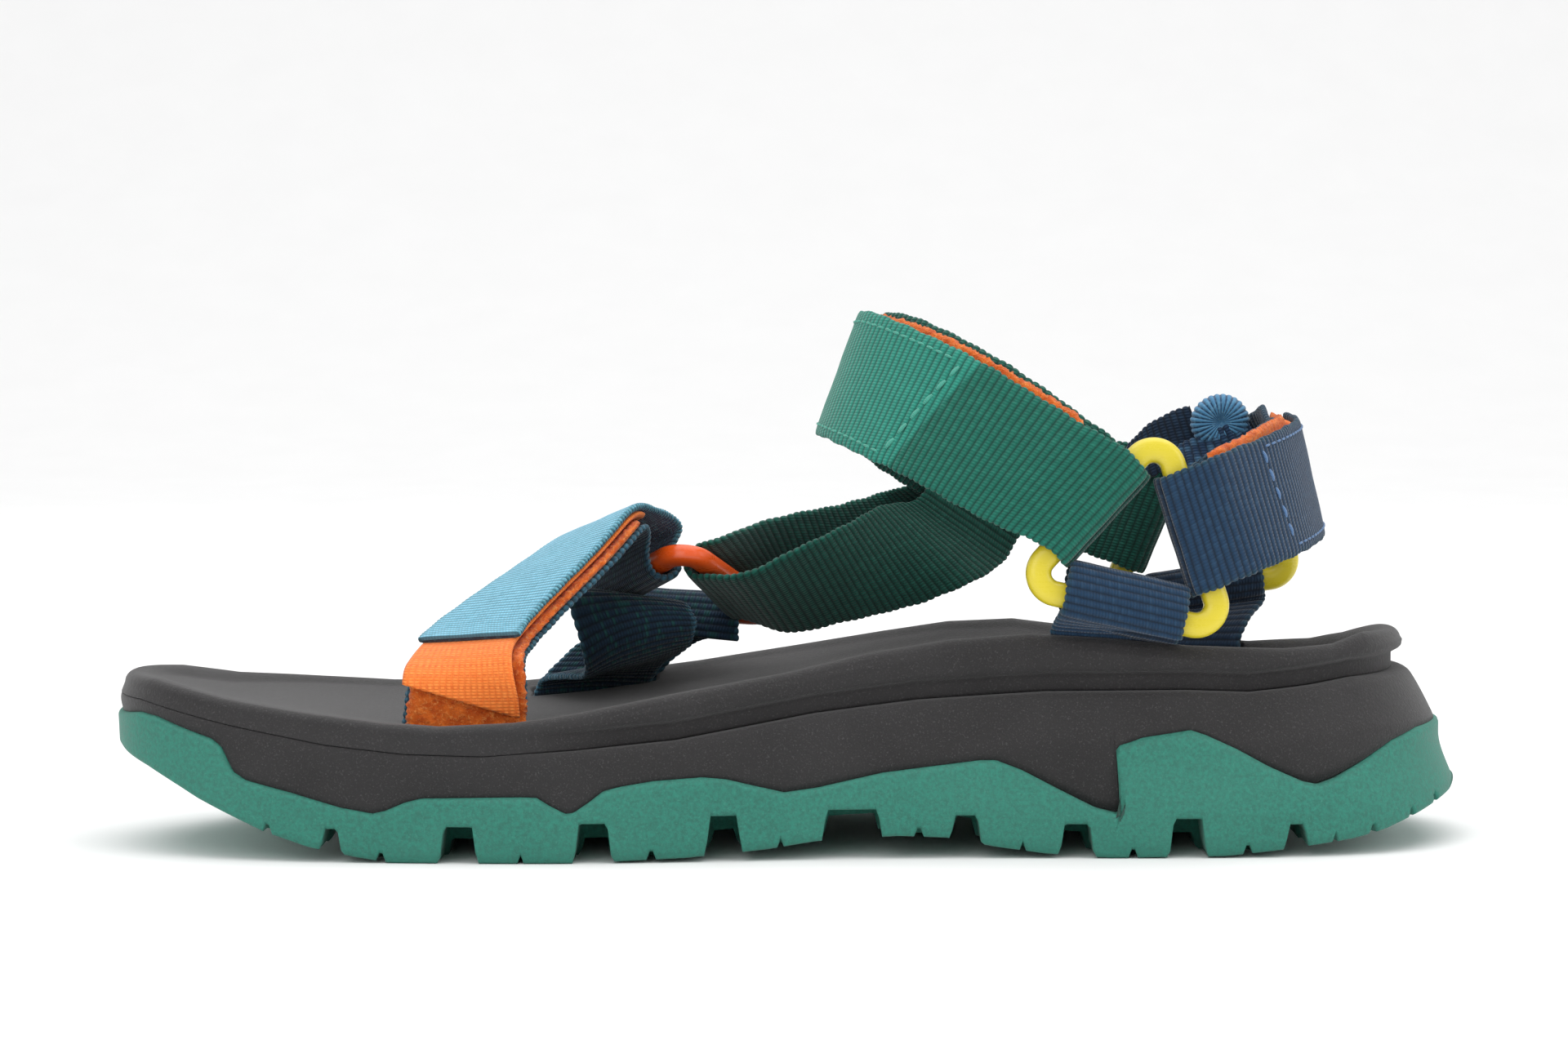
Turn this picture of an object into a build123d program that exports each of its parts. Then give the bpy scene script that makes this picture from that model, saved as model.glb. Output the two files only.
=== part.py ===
from build123d import *
import math
import os

os.makedirs("parts", exist_ok=True)

# Strappy sport sandal, right foot, size about EU 39-40.
# Frame: toe at -X, heel at +X, medial side at -Y, lateral side at +Y, +Z up,
# the lowest tread blocks stand on z = 0.  All lengths in millimetres.

# ------------------------------------------------------------------ driving dimensions
WEB_W = 24.5            # webbing width (25 mm nominal)
WEB_T = 1.5             # webbing thickness
LOOP_T = 1.4            # loop (fuzzy) tape thickness with its backing
HOOK_T = 1.2            # hook tape thickness with its backing
PEEL_GAP = 0.35         # air between hook tape and loop tape
PATCH_W = 22.0          # loop and hook tape width
RING_SIDE = 27.4        # distance between the ring's corner centres
RING_R = 6.5            # outer corner radius of a ring
RING_BAR = 5.0          # bar width in the ring's plane
RING_T = 4.0            # bar thickness across the ring's plane
WRAP_D = 4.0            # webbing centre to bar centre, in the ring's plane
WRAP_N = 3.5            # webbing centre to bar centre, across the ring's plane
SLOT_GAP = 0.4          # clearance round webbing in a sole slot
PIECE_GAP = 0.05        # air between the bonded sole layers
SHANK = (78.0, 30.0, 1.8)

# plan outlines (X, Y), counter-clockwise spline points
FOOTBED_OUTLINE = [(-133.2, -12), (-128, -29), (-115, -39), (-95, -44.5), (-70, -47), (-45, -47.0),
                   (-15, -43), (15, -37), (45, -34.5), (75, -34), (95, -31.5), (112, -24), (120.5, -11),
                   (122.5, 2), (119.5, 16), (109, 28.5), (92, 36), (70, 39), (45, 41), (15, 44),
                   (-15, 48), (-40, 49.8), (-65, 48), (-90, 41), (-110, 29), (-125, 11), (-132, -1)]
MIDSOLE_OUTLINE = [(-133.4, -12), (-128.5, -29.5), (-115, -40), (-95, -45.5), (-70, -48), (-45, -48.5),
                   (-15, -45), (15, -40.5), (45, -39), (75, -38.5), (97, -36.0), (116, -28.5), (126.5, -14),
                   (129.5, 2), (126.5, 18), (115, 32.0), (95, 40), (70, 43), (45, 44.5), (15, 46.5),
                   (-15, 49.5), (-40, 50.8), (-65, 49), (-90, 42), (-110, 30), (-125.5, 11), (-132.3, -1)]
OUTSOLE_OUTLINE = [(-133.8, -12), (-129, -30), (-115.5, -41), (-95, -46.5), (-70, -49), (-45, -49.5),
                   (-15, -46.5), (15, -42.5), (45, -41.5), (75, -41.5), (98, -39.5), (119, -31.5), (131, -16),
                   (134.4, 2), (131, 20), (118, 35.0), (97, 43), (70, 45.5), (45, 46.5), (15, 48),
                   (-15, 50.5), (-40, 51.8), (-65, 50), (-90, 43), (-110, 31), (-126, 11.5), (-132.8, -1)]

# side profile (X, Z): the wavy joint between the rubber outsole and the foam midsole
WAVE = [(-140, 26.2), (-133.0, 26.6), (-128.0, 27.5), (-124.5, 27.0), (-119.2, 25.2), (-112.9, 23.3), (-110.9, 21.8),
        (-108.6, 17.1), (-106.0, 15.5), (-96.9, 13.3), (-87.4, 10.6), (-81.1, 9.5), (-78.7, 10.0),
        (-74.7, 11.7), (-71.5, 12.5), (-52.5, 12.8), (-49.4, 12.7), (-47.0, 11.2), (-43.9, 9.6),
        (-42.3, 9.8), (-39.1, 12.0), (-36.7, 13.9), (-33.5, 14.7), (-27.2, 15.7), (-17.7, 16.3),
        (-13.0, 15.8), (-8.2, 14.6), (-1.9, 13.1), (4.4, 13.9), (17.1, 16.6), (36.1, 18.9),
        (39.2, 18.9), (44.0, 17.1), (51.9, 13.0), (58.3, 9.8), (61.8, 8.7), (62.9, 9.6), (63.0, 14.4),
        (63.1, 20.0), (64.2, 21.7), (67.7, 23.2), (77.2, 24.6), (80.4, 23.6), (86.7, 20.8),
        (93.0, 17.4), (99.6, 14.4), (102.6, 13.8), (106.6, 14.9), (113.4, 17.9), (120.5, 21.5),
        (127.0, 23.4), (140, 24.2)]
# side profile of the tread's underside, toe to heel
TREAD = [(-134.4, 22.5), (-133.6, 20.2), (-130.6, 18.8), (-126.2, 17.0), (-122.6, 15.2), (-119.1, 13.4),
         (-115.8, 11.6), (-110.9, 9.4), (-102.7, 5.8), (-93.5, 2.8), (-84.1, 1.0), (-77.8, 0.0), (-43, 0.0), (-20.9, 0.8),
         (-11.4, 1.6), (-5.1, 2.2), (4.4, 3.6), (20.2, 4.4), (29.7, 4.0), (39.2, 2.2), (48.7, 0.9),
         (61.3, 0.0), (83.5, 0.3), (92.9, 1.2), (102.9, 2.4), (109.4, 3.2), (116.1, 4.7), (123.3, 7.2),
         (131.9, 10.3), (134.8, 12.5)]
# side profile of the joint between the midsole and the footbed
DECK = [(-140, 30.4), (-128, 30.0), (-110, 26.2), (-90, 22.6), (-75, 21.0), (-60, 20.6), (-42, 21.6),
        (-23, 23.3), (4, 28.0), (24, 30.3), (49, 31.8), (77, 32.0), (91, 31.5), (105, 32.6), (116, 33.8),
        (140, 34.2)]
# footbed rim heights along the medial and the lateral edge, and the dish between them
RIM_MEDIAL = [(-136, 34.2), (-126.3, 34.0), (-110.8, 30.9), (-94.9, 28.6), (-79.1, 26.7), (-68.6, 26.0),
              (-53.9, 26.8), (-43, 28.4), (-22.1, 32.4), (-1.1, 36), (13.9, 39.4), (30, 41.9), (46.1, 43),
              (60, 42.2), (77.1, 40.6), (95.6, 39.8), (106.2, 40.4), (113.1, 42.4), (124, 42.4)]
RIM_LATERAL = [(-136, 34.2), (-126, 32.6), (-115.6, 30.1), (-98.4, 28.3), (-84.6, 27.0), (-60, 26.0),
               (-43, 27.4), (-20, 30.6), (0, 34.0), (18.8, 37.3), (32.6, 39.5), (46.3, 40.2), (60, 38.6),
               (80, 36.6), (95, 35.9), (108, 37.0), (115, 38.6), (124, 42.0)]
DISH = [(-136, 1.0), (-110, 1.8), (-70, 2.6), (-30, 3.2), (20, 4.2), (60, 5.6), (90, 6.2), (110, 5.6), (124, 4.2)]
HALF_WIDTH = [(-136, 20), (-115, 36), (-90, 43), (-45, 48.5), (0, 43), (45, 37.5), (90, 34), (112, 26), (124, 16)]

# side notches of the tread: X from, X to, ceiling Z
NOTCHES = [(-91.1, -87.0, 6.4), (-68.1, -60.9, 7.0), (-42.2, -35.0, 7.6), (-17.0, -10.1, 8.8),
           (5.5, 17.1, 9.6), (30.4, 36.4, 8.3), (51.6, 58.2, 6.6), (72.8, 80.0, 7.6), (95.4, 100.0, 6.3)]
NOTCH_IN = 13.0         # how far a side notch runs in from the outline
GROOVE_Z = 3.2          # ceiling of the shallow cross grooves above the tread

# sole slots: centre X, centre Y, turn about Z in degrees, length, width, floor Z
SLOT_TOE = (-64.2, -34.4, -5.0, 26.0, 3.6, 16.0)
SLOT_FOREFOOT = (-42.0, 37.0, 4.0, 26.0, 9.0, 17.0)
SLOT_ANKLE_MEDIAL = (62.0, -28.4, 0.0, 26.0, 8.4, 28.5)
SLOT_ANKLE_LATERAL = (81.0, 29.2, -6.0, 26.0, 8.4, 28.0)


# ------------------------------------------------------------------ small helpers
def lookup(table, x):
    """Straight-line look-up in a list of (x, value)."""
    if x <= table[0][0]:
        return table[0][1]
    for (x0, v0), (x1, v1) in zip(table, table[1:]):
        if x <= x1:
            return v0 + (v1 - v0) * (x - x0) / (x1 - x0)
    return table[-1][1]


def unit(v):
    return Vector(*v).normalized() if not isinstance(v, Vector) else v.normalized()


def spline_rows(rows, pitch):
    """Natural cubic spline through rows of numbers, by chord length, resampled at about the pitch."""
    n = len(rows)
    d = [0.0]
    for a, b in zip(rows, rows[1:]):
        d.append(d[-1] + max(1e-6, math.dist(a[:3], b[:3])))
    m = len(rows[0])
    second = [[0.0] * m for _ in range(n)]
    for c in range(m):
        lo, di, up, rh = [0.0] * n, [1.0] * n, [0.0] * n, [0.0] * n
        for i in range(1, n - 1):
            h0, h1 = d[i] - d[i - 1], d[i + 1] - d[i]
            lo[i], di[i], up[i] = h0, 2 * (h0 + h1), h1
            rh[i] = 6 * ((rows[i + 1][c] - rows[i][c]) / h1 - (rows[i][c] - rows[i - 1][c]) / h0)
        for i in range(1, n):
            f = lo[i] / di[i - 1]
            di[i] -= f * up[i - 1]
            rh[i] -= f * rh[i - 1]
        second[n - 1][c] = rh[n - 1] / di[n - 1]
        for i in range(n - 2, -1, -1):
            second[i][c] = (rh[i] - up[i] * second[i + 1][c]) / di[i]
    count = max(2, round(d[-1] / pitch))
    out = []
    for k in range(count + 1):
        s = d[-1] * k / count
        i = 0
        while i < n - 2 and s > d[i + 1]:
            i += 1
        h = d[i + 1] - d[i]
        a, b = (d[i + 1] - s) / h, (s - d[i]) / h
        out.append([a * rows[i][c] + b * rows[i + 1][c]
                    + ((a ** 3 - a) * second[i][c] + (b ** 3 - b) * second[i + 1][c]) * h * h / 6
                    for c in range(m)])
    return out


def strap_frames(rows):
    """Rows of (x, y, z, wx, wy, wz) to (centre, width direction, path direction, face normal)."""
    pts = [Vector(*r[:3]) for r in rows]
    out = []
    for i, r in enumerate(rows):
        t = (pts[min(i + 1, len(pts) - 1)] - pts[max(i - 1, 0)]).normalized()
        w = Vector(*r[3:6]).normalized()
        t = (t - w * w.dot(t)).normalized()
        out.append((pts[i], w, t, w.cross(t)))
    return out


def strap_planes(frames, lift=0.0, first=0.0, last=1.0, slide=0.0):
    """Section planes of a strap, lifted along its face normal, over a part of its length."""
    n = len(frames) - 1
    i0, i1 = round(first * n), round(last * n)
    return [Plane(origin=c + nn * lift + w * slide, x_dir=w, z_dir=t) for c, w, t, nn in frames[i0:i1 + 1]]


def ring_frame(centre, normal, up):
    n = unit(normal)
    u = Vector(*up)
    u = (u - n * u.dot(n)).normalized()
    return Vector(*centre), n, u, u.cross(n)


def ring_bar(ring, angle):
    """Middle of the bar whose outward direction is at the angle, that direction, and the bar's direction."""
    c, n, u, v = ring
    a = math.radians(angle)
    d = u * math.sin(a) + v * math.cos(a)
    return c + d * (RING_SIDE / math.sqrt(3) / 2 + RING_R - RING_BAR / 2), d, n.cross(d).normalized()


def wrap_rows(ring, angle, w_like, start=80, stop=280, step=25, side=1.0, rd=WRAP_D, rn=WRAP_N):
    """Stations of webbing that goes round a bar: from the ring's outer face, through the ring, to its inner face."""
    m, d, b = ring_bar(ring, angle)
    n = ring[1] * side
    if b.dot(Vector(*w_like)) < 0:
        b = b * -1
    rows = []
    count = round((stop - start) / step)
    for k in range(count + 1):
        a = math.radians(start + (stop - start) * k / count)
        p = m + d * (rd * math.cos(a)) + n * (rn * math.sin(a))
        rows.append([p.X, p.Y, p.Z, b.X, b.Y, b.Z])
    return rows


# ------------------------------------------------------------------ the three rings' places
RING_MEDIAL = ring_frame((66.6, -34.0, 59.5), (0.06, -1.0, 0.12), (0.225, 0.0, 0.974))
RING_LATERAL = ring_frame((85.0, 35.5, 58.5), (0.02, 1.0, 0.12), (-0.15, 0.0, 0.99))
RING_TOE = ring_frame((-22.7, 21.3, 47.5), (0.06, 0.42, 0.90), (0.03, -0.90, 0.42))

# ------------------------------------------------------------------ strap routes, (x, y, z, width direction)
# Every route's face normal, width x path, points away from the foot.
LAYER_LOOP = WEB_T / 2 + LOOP_T / 2
LAYER_HOOK = WEB_T / 2 + LOOP_T + PEEL_GAP + HOOK_T / 2
LAYER_FLAP = WEB_T / 2 + LOOP_T + PEEL_GAP + HOOK_T + WEB_T / 2


def inner_rows(frames, first, last, lift, slide=0.0):
    """Rows under an outer layer over a part of its length; slide bulges the strap sideways in the middle."""
    rows = []
    for i in range(round(first * (len(frames) - 1)), round(last * (len(frames) - 1)) + 1):
        f = i / (len(frames) - 1)
        c, w, t, n = frames[i]
        p = c + n * lift + w * (slide * math.sin(math.pi * f))
        rows.append([p.X, p.Y, p.Z, w.X, w.Y, w.Z])
    return rows


def flap_root(ring, angle, w_like):
    """First station of a flap: just past the top of the bar's wrap, where the flap peels from."""
    m, d, b = ring_bar(ring, angle)
    if b.dot(Vector(*w_like)) < 0:
        b = b * -1
    p = m + ring[1] * WRAP_N + d * 0.8
    return [p.X, p.Y, p.Z, b.X, b.Y, b.Z]


# toe strap: from the medial slot over the forefoot to the toe ring; +w is the rear edge.
# The first rows are the hook tape's tail, which runs on past the end of the webbing flap.
TOE_OUT_ROWS = [(-64.4, -38.8, 30.2, .99, -.12, .02), (-64.6, -38.2, 35.2, .96, -.26, .05), (-64.4, -34.0, 39.8, .90, -.42, .08),
                (-62.4, -25.8, 43.4, .84, -.52, .10), (-52.9, -15.8, 51.7, .75, -.62, .16),
                (-44.0, -6.2, 59.0, .67, -.68, .24), (-38.4, 1.2, 62.9, .60, -.74, .30),
                (-35.0, 8.4, 61.0, .56, -.77, .33)]
toe_root = flap_root(RING_TOE, 30, (0.54, -0.8, 0.33))
toe_out = strap_frames(spline_rows(TOE_OUT_ROWS + [toe_root], 3.0))
toe_wrap = wrap_rows(RING_TOE, 30, (0.54, -0.8, 0.33), start=90, stop=285, step=20)
toe_in = strap_frames(spline_rows([(-64.2, -34.4, 16.5, 1, -.09, 0), (-64.2, -34.4, 19.0, 1, -.09, 0),
                                   (-64.2, -34.4, 22.0, 1, -.09, 0), (-64.2, -34.4, 26.0, 1, -.09, 0)]
                                  + inner_rows(toe_out, 0.0, 0.84, -LAYER_FLAP)
                                  + list(reversed(toe_wrap)), 3.0))

# lateral forefoot anchor: a slack doubled loop from its slot up to the toe ring
anchor_f_wrap = wrap_rows(RING_TOE, -90, (1, 0, -.1), start=0, stop=180, step=20)
anchor_f_out = strap_frames(spline_rows([(-41.4, 40.0, 17.5, 1, .07, 0), (-41.4, 40.0, 20.0, 1, .07, 0), (-41.4, 40.0, 25.5, 1, .07, 0),
                                         (-37.0, 42.2, 31.5, 1, .04, 0), (-28.4, 41.6, 37.0, 1, 0, -.05)]
                                        + anchor_f_wrap + [(-23.3, 26.4, 40.6, 1, 0, -.1), (-23.3, 25.6, 37.6, 1, 0, -.1)], 3.0))
anchor_f_in = strap_frames(spline_rows([(-42.6, 34.8, 17.5, 1, .07, 0), (-42.6, 34.8, 20.0, 1, .07, 0), (-42.6, 34.8, 25.4, 1, .07, 0),
                                        (-40.6, 32.0, 29.6, 1, .0, 0), (-36.0, 25.4, 32.6, .97, -.15, .15),
                                        (-32.8, 17.4, 36.0, .88, -.30, .35), (-33.2, 13.0, 41.0, .82, -.36, .42)], 3.0))

# ankle strap: medial ring, over the instep, lateral ring; +w is the upper edge
ankle_root = flap_root(RING_MEDIAL, 150, (.7, 0, .7))
ANKLE_FLAP_ROWS = [(51.2, -37.6, 71.6, .67, .05, .74), (43.8, -35.4, 75.2, .62, .1, .78),
                   (28.4, -29, 83.3, .5, .17, .84), (18.2, -20, 88.2, .42, .17, .89), (11.2, -9, 91.1, .37, .1, .93),
                   (9.0, 2, 91.7, .34, 0, .94), (11.5, 12, 90.6, .37, -.1, .93), (17.0, 20.5, 87.6, .42, -.12, .9)]
ankle_out = strap_frames(spline_rows([ankle_root] + ANKLE_FLAP_ROWS, 3.4))
ankle_wrap_m = wrap_rows(RING_MEDIAL, 150, (.7, 0, .7), start=90, stop=285, step=20)
ankle_wrap_l = wrap_rows(RING_LATERAL, 30, (.37, 0, .93), start=80, stop=275, step=20)
ankle_in = strap_frames(spline_rows(ankle_wrap_m
                                    + inner_rows(ankle_out, 0.12, 1.0, -LAYER_FLAP, 2.6)
                                    + [(31.5, 27.6, 78.2, .55, -.08, .83),
                                       (44.4, 33.4, 71.6, .58, -.02, .81), (57.0, 37.6, 67.6, .48, 0, .88),
                                       (66.0, 39.2, 65.9, .39, 0, .92)]
                                    + ankle_wrap_l + [(66.0, 35.6, 65.2, .39, 0, .92), (60.0, 34.6, 66.6, .46, 0, .88)], 3.2))

# instep strap: one strip, both ends on the ankle strap, looped through the toe ring; +w is the upper edge
join = min(ankle_in, key=lambda f: (f[0] - Vector(42, 33, 72.5)).length)
instep_wrap = wrap_rows(RING_TOE, 150, (-.46, -.80, .34), start=-90, stop=-270, step=-20)


def join_row(lift, along):
    """A station of the instep strap where it lies across the ankle strap."""
    c, w, t, n = join
    p = c + n * lift + w * along
    return [p.X, p.Y, p.Z, -t.X, -t.Y, -t.Z]


instep_all = strap_frames(spline_rows([join_row(-2.3, 9), join_row(-2.3, 1), join_row(-2.6, -7), join_row(-4.4, -14),
                                       (28.6, 21.5, 57.2, -.72, -.15, .68),
                                       (20.6, 15.6, 54.4, -.55, -.35, .76), (11.6, 10.8, 51.2, -.42, -.55, .72),
                                       (3.0, 8.6, 48.2, -.40, -.66, .64), (-5.0, 9.6, 45.6, -.42, -.74, .52)]
                                      + instep_wrap
                                      + [(-4.4, 23.4, 53.0, -.42, -.66, .62), (5.0, 29.5, 52.6, -.32, -.35, .88),
                                         (15.5, 33.5, 54.0, -.42, -.15, .89), (26.0, 36.2, 57.6, -.62, -.05, .78),
                                         join_row(4.6, -14), join_row(2.6, -7), join_row(2.3, 1), join_row(2.3, 8)], 3.2))

# heel strap: medial ring, round the heel, lateral ring; +w is the lower edge
heel_root = flap_root(RING_MEDIAL, 30, (.3, 0, -.95))
HEEL_FLAP_ROWS = [(83.9, -35.9, 65.6, .32, -.02, -.95), (89.8, -31.6, 67.8, .28, -.08, -.95),
                  (97.2, -22, 70.0, .25, -.1, -.96), (102.4, -8, 71.3, .24, -.05, -.97), (104.6, 5, 72.1, .22, 0, -.97),
                  (103.6, 16, 72.6, .22, .05, -.97)]
heel_out = strap_frames(spline_rows([heel_root] + HEEL_FLAP_ROWS, 3.4))
heel_wrap_m = wrap_rows(RING_MEDIAL, 30, (.3, 0, -.95), start=90, stop=285, step=20)
heel_wrap_l = wrap_rows(RING_LATERAL, 150, (.62, 0, -.78), start=80, stop=275, step=20)
heel_in = strap_frames(spline_rows(heel_wrap_m
                                   + inner_rows(heel_out, 0.14, 0.96, -LAYER_FLAP, -1.6)
                                   + [(99.6, 19.0, 73.6, .24, .05, -.97), (101.4, 28.0, 73.9, .36, .02, -.93),
                                      (101.0, 35.6, 72.4, .52, 0, -.85)]
                                   + heel_wrap_l + [(99.0, 32.6, 68.8, .60, 0, -.80)], 3.2))

# ankle anchors: doubled webbing from a slot, round the ring's lower bar, back into the slot
anchor_m = strap_frames(spline_rows([(62.0, -31.2, 29.0, 1, 0, 0), (62.0, -31.2, 33.0, 1, 0, 0), (62.0, -31.2, 37.5, 1, 0, -.02),
                                     (62.1, -31.4, 42.4, 1, 0, -.06), (63.0, -36.2, 44.9, 1, 0, -.14)]
                                    + wrap_rows(RING_MEDIAL, -90, (1, 0, -.2), start=40, stop=320, step=20)
                                    + [(62.8, -29.6, 42.4, 1, 0, -.12), (62.0, -25.6, 38.0, 1, 0, -.03),
                                       (62.0, -25.6, 33.0, 1, 0, 0), (62.0, -25.6, 29.0, 1, 0, 0)], 3.0))
anchor_l = strap_frames(spline_rows([(81.2, 32.0, 28.5, .99, -.10, 0), (81.2, 32.0, 31.0, .99, -.10, 0), (81.6, 32.2, 36.0, .99, -.10, 0),
                                     (84.4, 37.2, 41.0, .99, -.04, .10)]
                                    + wrap_rows(RING_LATERAL, -90, (1, 0, .15), start=40, stop=320, step=20)
                                    + [(84.0, 30.6, 40.4, .99, -.04, .10), (81.0, 26.4, 35.4, .99, -.10, 0),
                                       (80.8, 26.4, 31.0, .99, -.10, 0), (80.8, 26.4, 28.5, .99, -.10, 0)], 3.0))

# ------------------------------------------------------------------ outsole
with BuildPart() as outsole:
    with BuildSketch(Plane.XY.offset(-1)):
        with BuildLine():
            Spline(*OUTSOLE_OUTLINE, periodic=True)
        make_face()
    extrude(amount=46)
    with BuildSketch(Plane.XZ.offset(-70)):
        with BuildLine():
            Polyline(*[(-140, 22.5)] + TREAD + [(140, 12.5)] + list(reversed(WAVE)), close=True)
        make_face()
    extrude(amount=140, mode=Mode.INTERSECT)
    # shallow cross grooves and deep side notches between the tread blocks
    for x0, x1, top in NOTCHES:
        mid, wide = (x0 + x1) / 2, x1 - x0
        with BuildSketch(Plane.XZ.offset(-70)):
            with BuildLine():
                Polyline((x0 + 0.8, -5), (x1 - 0.8, -5), (x1 - 1.3, lookup(TREAD, mid) + GROOVE_Z),
                         (x0 + 1.3, lookup(TREAD, mid) + GROOVE_Z), close=True)
            make_face()
        extrude(amount=140, mode=Mode.SUBTRACT)
        for s in (-1, 1):
            reach = lookup(HALF_WIDTH, mid) + 4
            with BuildSketch(Plane.XZ.offset(-s * (reach - NOTCH_IN))):
                with BuildLine():
                    Polyline((x0, -5), (x1, -5), (x1 - 0.9, top), (x0 + 0.9, top), close=True)
                make_face()
            extrude(amount=-s * 60, mode=Mode.SUBTRACT)

# ------------------------------------------------------------------ midsole with shank and strap pockets
with BuildPart() as midsole:
    with BuildSketch(Plane.XY.offset(5)):
        with BuildLine():
            Spline(*MIDSOLE_OUTLINE, periodic=True)
        make_face()
    extrude(amount=40)
    with BuildSketch(Plane.XZ.offset(-70)):
        with BuildLine():
            Polyline(*[(x - (PIECE_GAP * 1.5 if 61.9 < x < 64.5 else 0), z + PIECE_GAP) for x, z in WAVE] + [(130.6, 25.0), (127.6, 30.0), (124.6, 33.2), (121.6, 33.9)]
                     + [(x, z) for x, z in reversed(DECK) if x < 120], close=True)
        make_face()
    extrude(amount=140, mode=Mode.INTERSECT)
    with Locations(Location((32, 2, 23.4), (0, -4.0, 0))):
        Box(SHANK[0] + 2 * PIECE_GAP, SHANK[1] + 2 * PIECE_GAP, SHANK[2] + 2 * PIECE_GAP, mode=Mode.SUBTRACT)

with BuildPart() as shank:
    with Locations(Location((32, 2, 23.4), (0, -4.0, 0))):
        Box(*SHANK)
    fillet(shank.edges().filter_by(Axis.Z, tolerance=10), radius=6)

# ------------------------------------------------------------------ footbed: dished top skin of firm foam
grid = []
for i in range(28):
    gx = -137 + i * (126 + 137) / 27
    row = []
    for j in range(13):
        gy = -56 + j * 112 / 12
        half = lookup(HALF_WIDTH, gx)
        f = (gy - 1.5) / half
        rim = lookup(RIM_MEDIAL, gx) + (lookup(RIM_LATERAL, gx) - lookup(RIM_MEDIAL, gx)) * min(1, max(0, 0.5 + f / 2))
        end = max(0.0, 1 - ((gx - 104) / 17) ** 2) if gx > 104 else 1.0
        z = rim - lookup(DISH, gx) * max(0.0, 1 - min(1, abs(f)) ** 2.6) * end
        row.append(Vector(gx, gy, z))
    grid.append(row)
footbed_top = Face.make_surface_from_array_of_points(grid)
footbed_mould = Solid.extrude(footbed_top, Vector(0, 0, -60))

with BuildPart() as footbed:
    with BuildSketch(Plane.XY.offset(10)):
        with BuildLine():
            Spline(*FOOTBED_OUTLINE, periodic=True)
        make_face()
    extrude(amount=50)
    with BuildSketch(Plane.XZ.offset(-70)):
        with BuildLine():
            Polyline(*[(x, z + PIECE_GAP) for x, z in DECK] + [(140, 60), (-140, 60)], close=True)
        make_face()
    extrude(amount=140, mode=Mode.INTERSECT)
    add(footbed_mould, mode=Mode.INTERSECT)

# strap slots through the footbed and into the midsole
slot_tools = []
for sx, sy, turn, length, width, low in (SLOT_TOE, SLOT_FOREFOOT, SLOT_ANKLE_MEDIAL, SLOT_ANKLE_LATERAL):
    slot_tools.append(Pos(sx, sy, low) * Rot(0, 0, turn) * Box(length, width, 40, align=(Align.CENTER, Align.CENTER, Align.MIN)))

# ------------------------------------------------------------------ the three rings
RING_CORNERS = [(RING_SIDE / math.sqrt(3) * math.cos(math.radians(a)), RING_SIDE / math.sqrt(3) * math.sin(math.radians(a)))
                for a in (90, 210, 330)]
with BuildPart() as toe_ring:
    with BuildSketch(Plane(origin=RING_TOE[0] - RING_TOE[1] * (RING_T / 2), x_dir=RING_TOE[3], z_dir=RING_TOE[1])):
        with BuildLine():
            Polyline(*RING_CORNERS, close=True)
        make_face()
        offset(amount=RING_R, kind=Kind.ARC)
    extrude(amount=RING_T)
    with BuildSketch(Plane(origin=RING_TOE[0] - RING_TOE[1] * RING_T, x_dir=RING_TOE[3], z_dir=RING_TOE[1])):
        with BuildLine():
            Polyline(*RING_CORNERS, close=True)
        make_face()
        offset(amount=RING_R - RING_BAR, kind=Kind.ARC)
    extrude(amount=RING_T * 2, mode=Mode.SUBTRACT)
    fillet(toe_ring.edges(), radius=1.4)

with BuildPart() as ankle_ring_medial:
    with BuildSketch(Plane(origin=RING_MEDIAL[0] - RING_MEDIAL[1] * (RING_T / 2), x_dir=RING_MEDIAL[3], z_dir=RING_MEDIAL[1])):
        with BuildLine():
            Polyline(*RING_CORNERS, close=True)
        make_face()
        offset(amount=RING_R, kind=Kind.ARC)
    extrude(amount=RING_T)
    with BuildSketch(Plane(origin=RING_MEDIAL[0] - RING_MEDIAL[1] * RING_T, x_dir=RING_MEDIAL[3], z_dir=RING_MEDIAL[1])):
        with BuildLine():
            Polyline(*RING_CORNERS, close=True)
        make_face()
        offset(amount=RING_R - RING_BAR, kind=Kind.ARC)
    extrude(amount=RING_T * 2, mode=Mode.SUBTRACT)
    fillet(ankle_ring_medial.edges(), radius=1.4)

with BuildPart() as ankle_ring_lateral:
    with BuildSketch(Plane(origin=RING_LATERAL[0] - RING_LATERAL[1] * (RING_T / 2), x_dir=RING_LATERAL[3], z_dir=RING_LATERAL[1])):
        with BuildLine():
            Polyline(*RING_CORNERS, close=True)
        make_face()
        offset(amount=RING_R, kind=Kind.ARC)
    extrude(amount=RING_T)
    with BuildSketch(Plane(origin=RING_LATERAL[0] - RING_LATERAL[1] * RING_T, x_dir=RING_LATERAL[3], z_dir=RING_LATERAL[1])):
        with BuildLine():
            Polyline(*RING_CORNERS, close=True)
        make_face()
        offset(amount=RING_R - RING_BAR, kind=Kind.ARC)
    extrude(amount=RING_T * 2, mode=Mode.SUBTRACT)
    fillet(ankle_ring_lateral.edges(), radius=1.4)

# ------------------------------------------------------------------ webbing, loop tape and hook tape
with BuildPart() as toe_strap_base:
    for section in strap_planes(toe_in):
        with BuildSketch(section):
            Rectangle(WEB_W, WEB_T)
    loft(ruled=True)

with BuildPart() as toe_strap_flap:
    for section in strap_planes(toe_out, first=0.2):
        with BuildSketch(section):
            Rectangle(WEB_W, WEB_T)
    loft(ruled=True)

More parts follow.
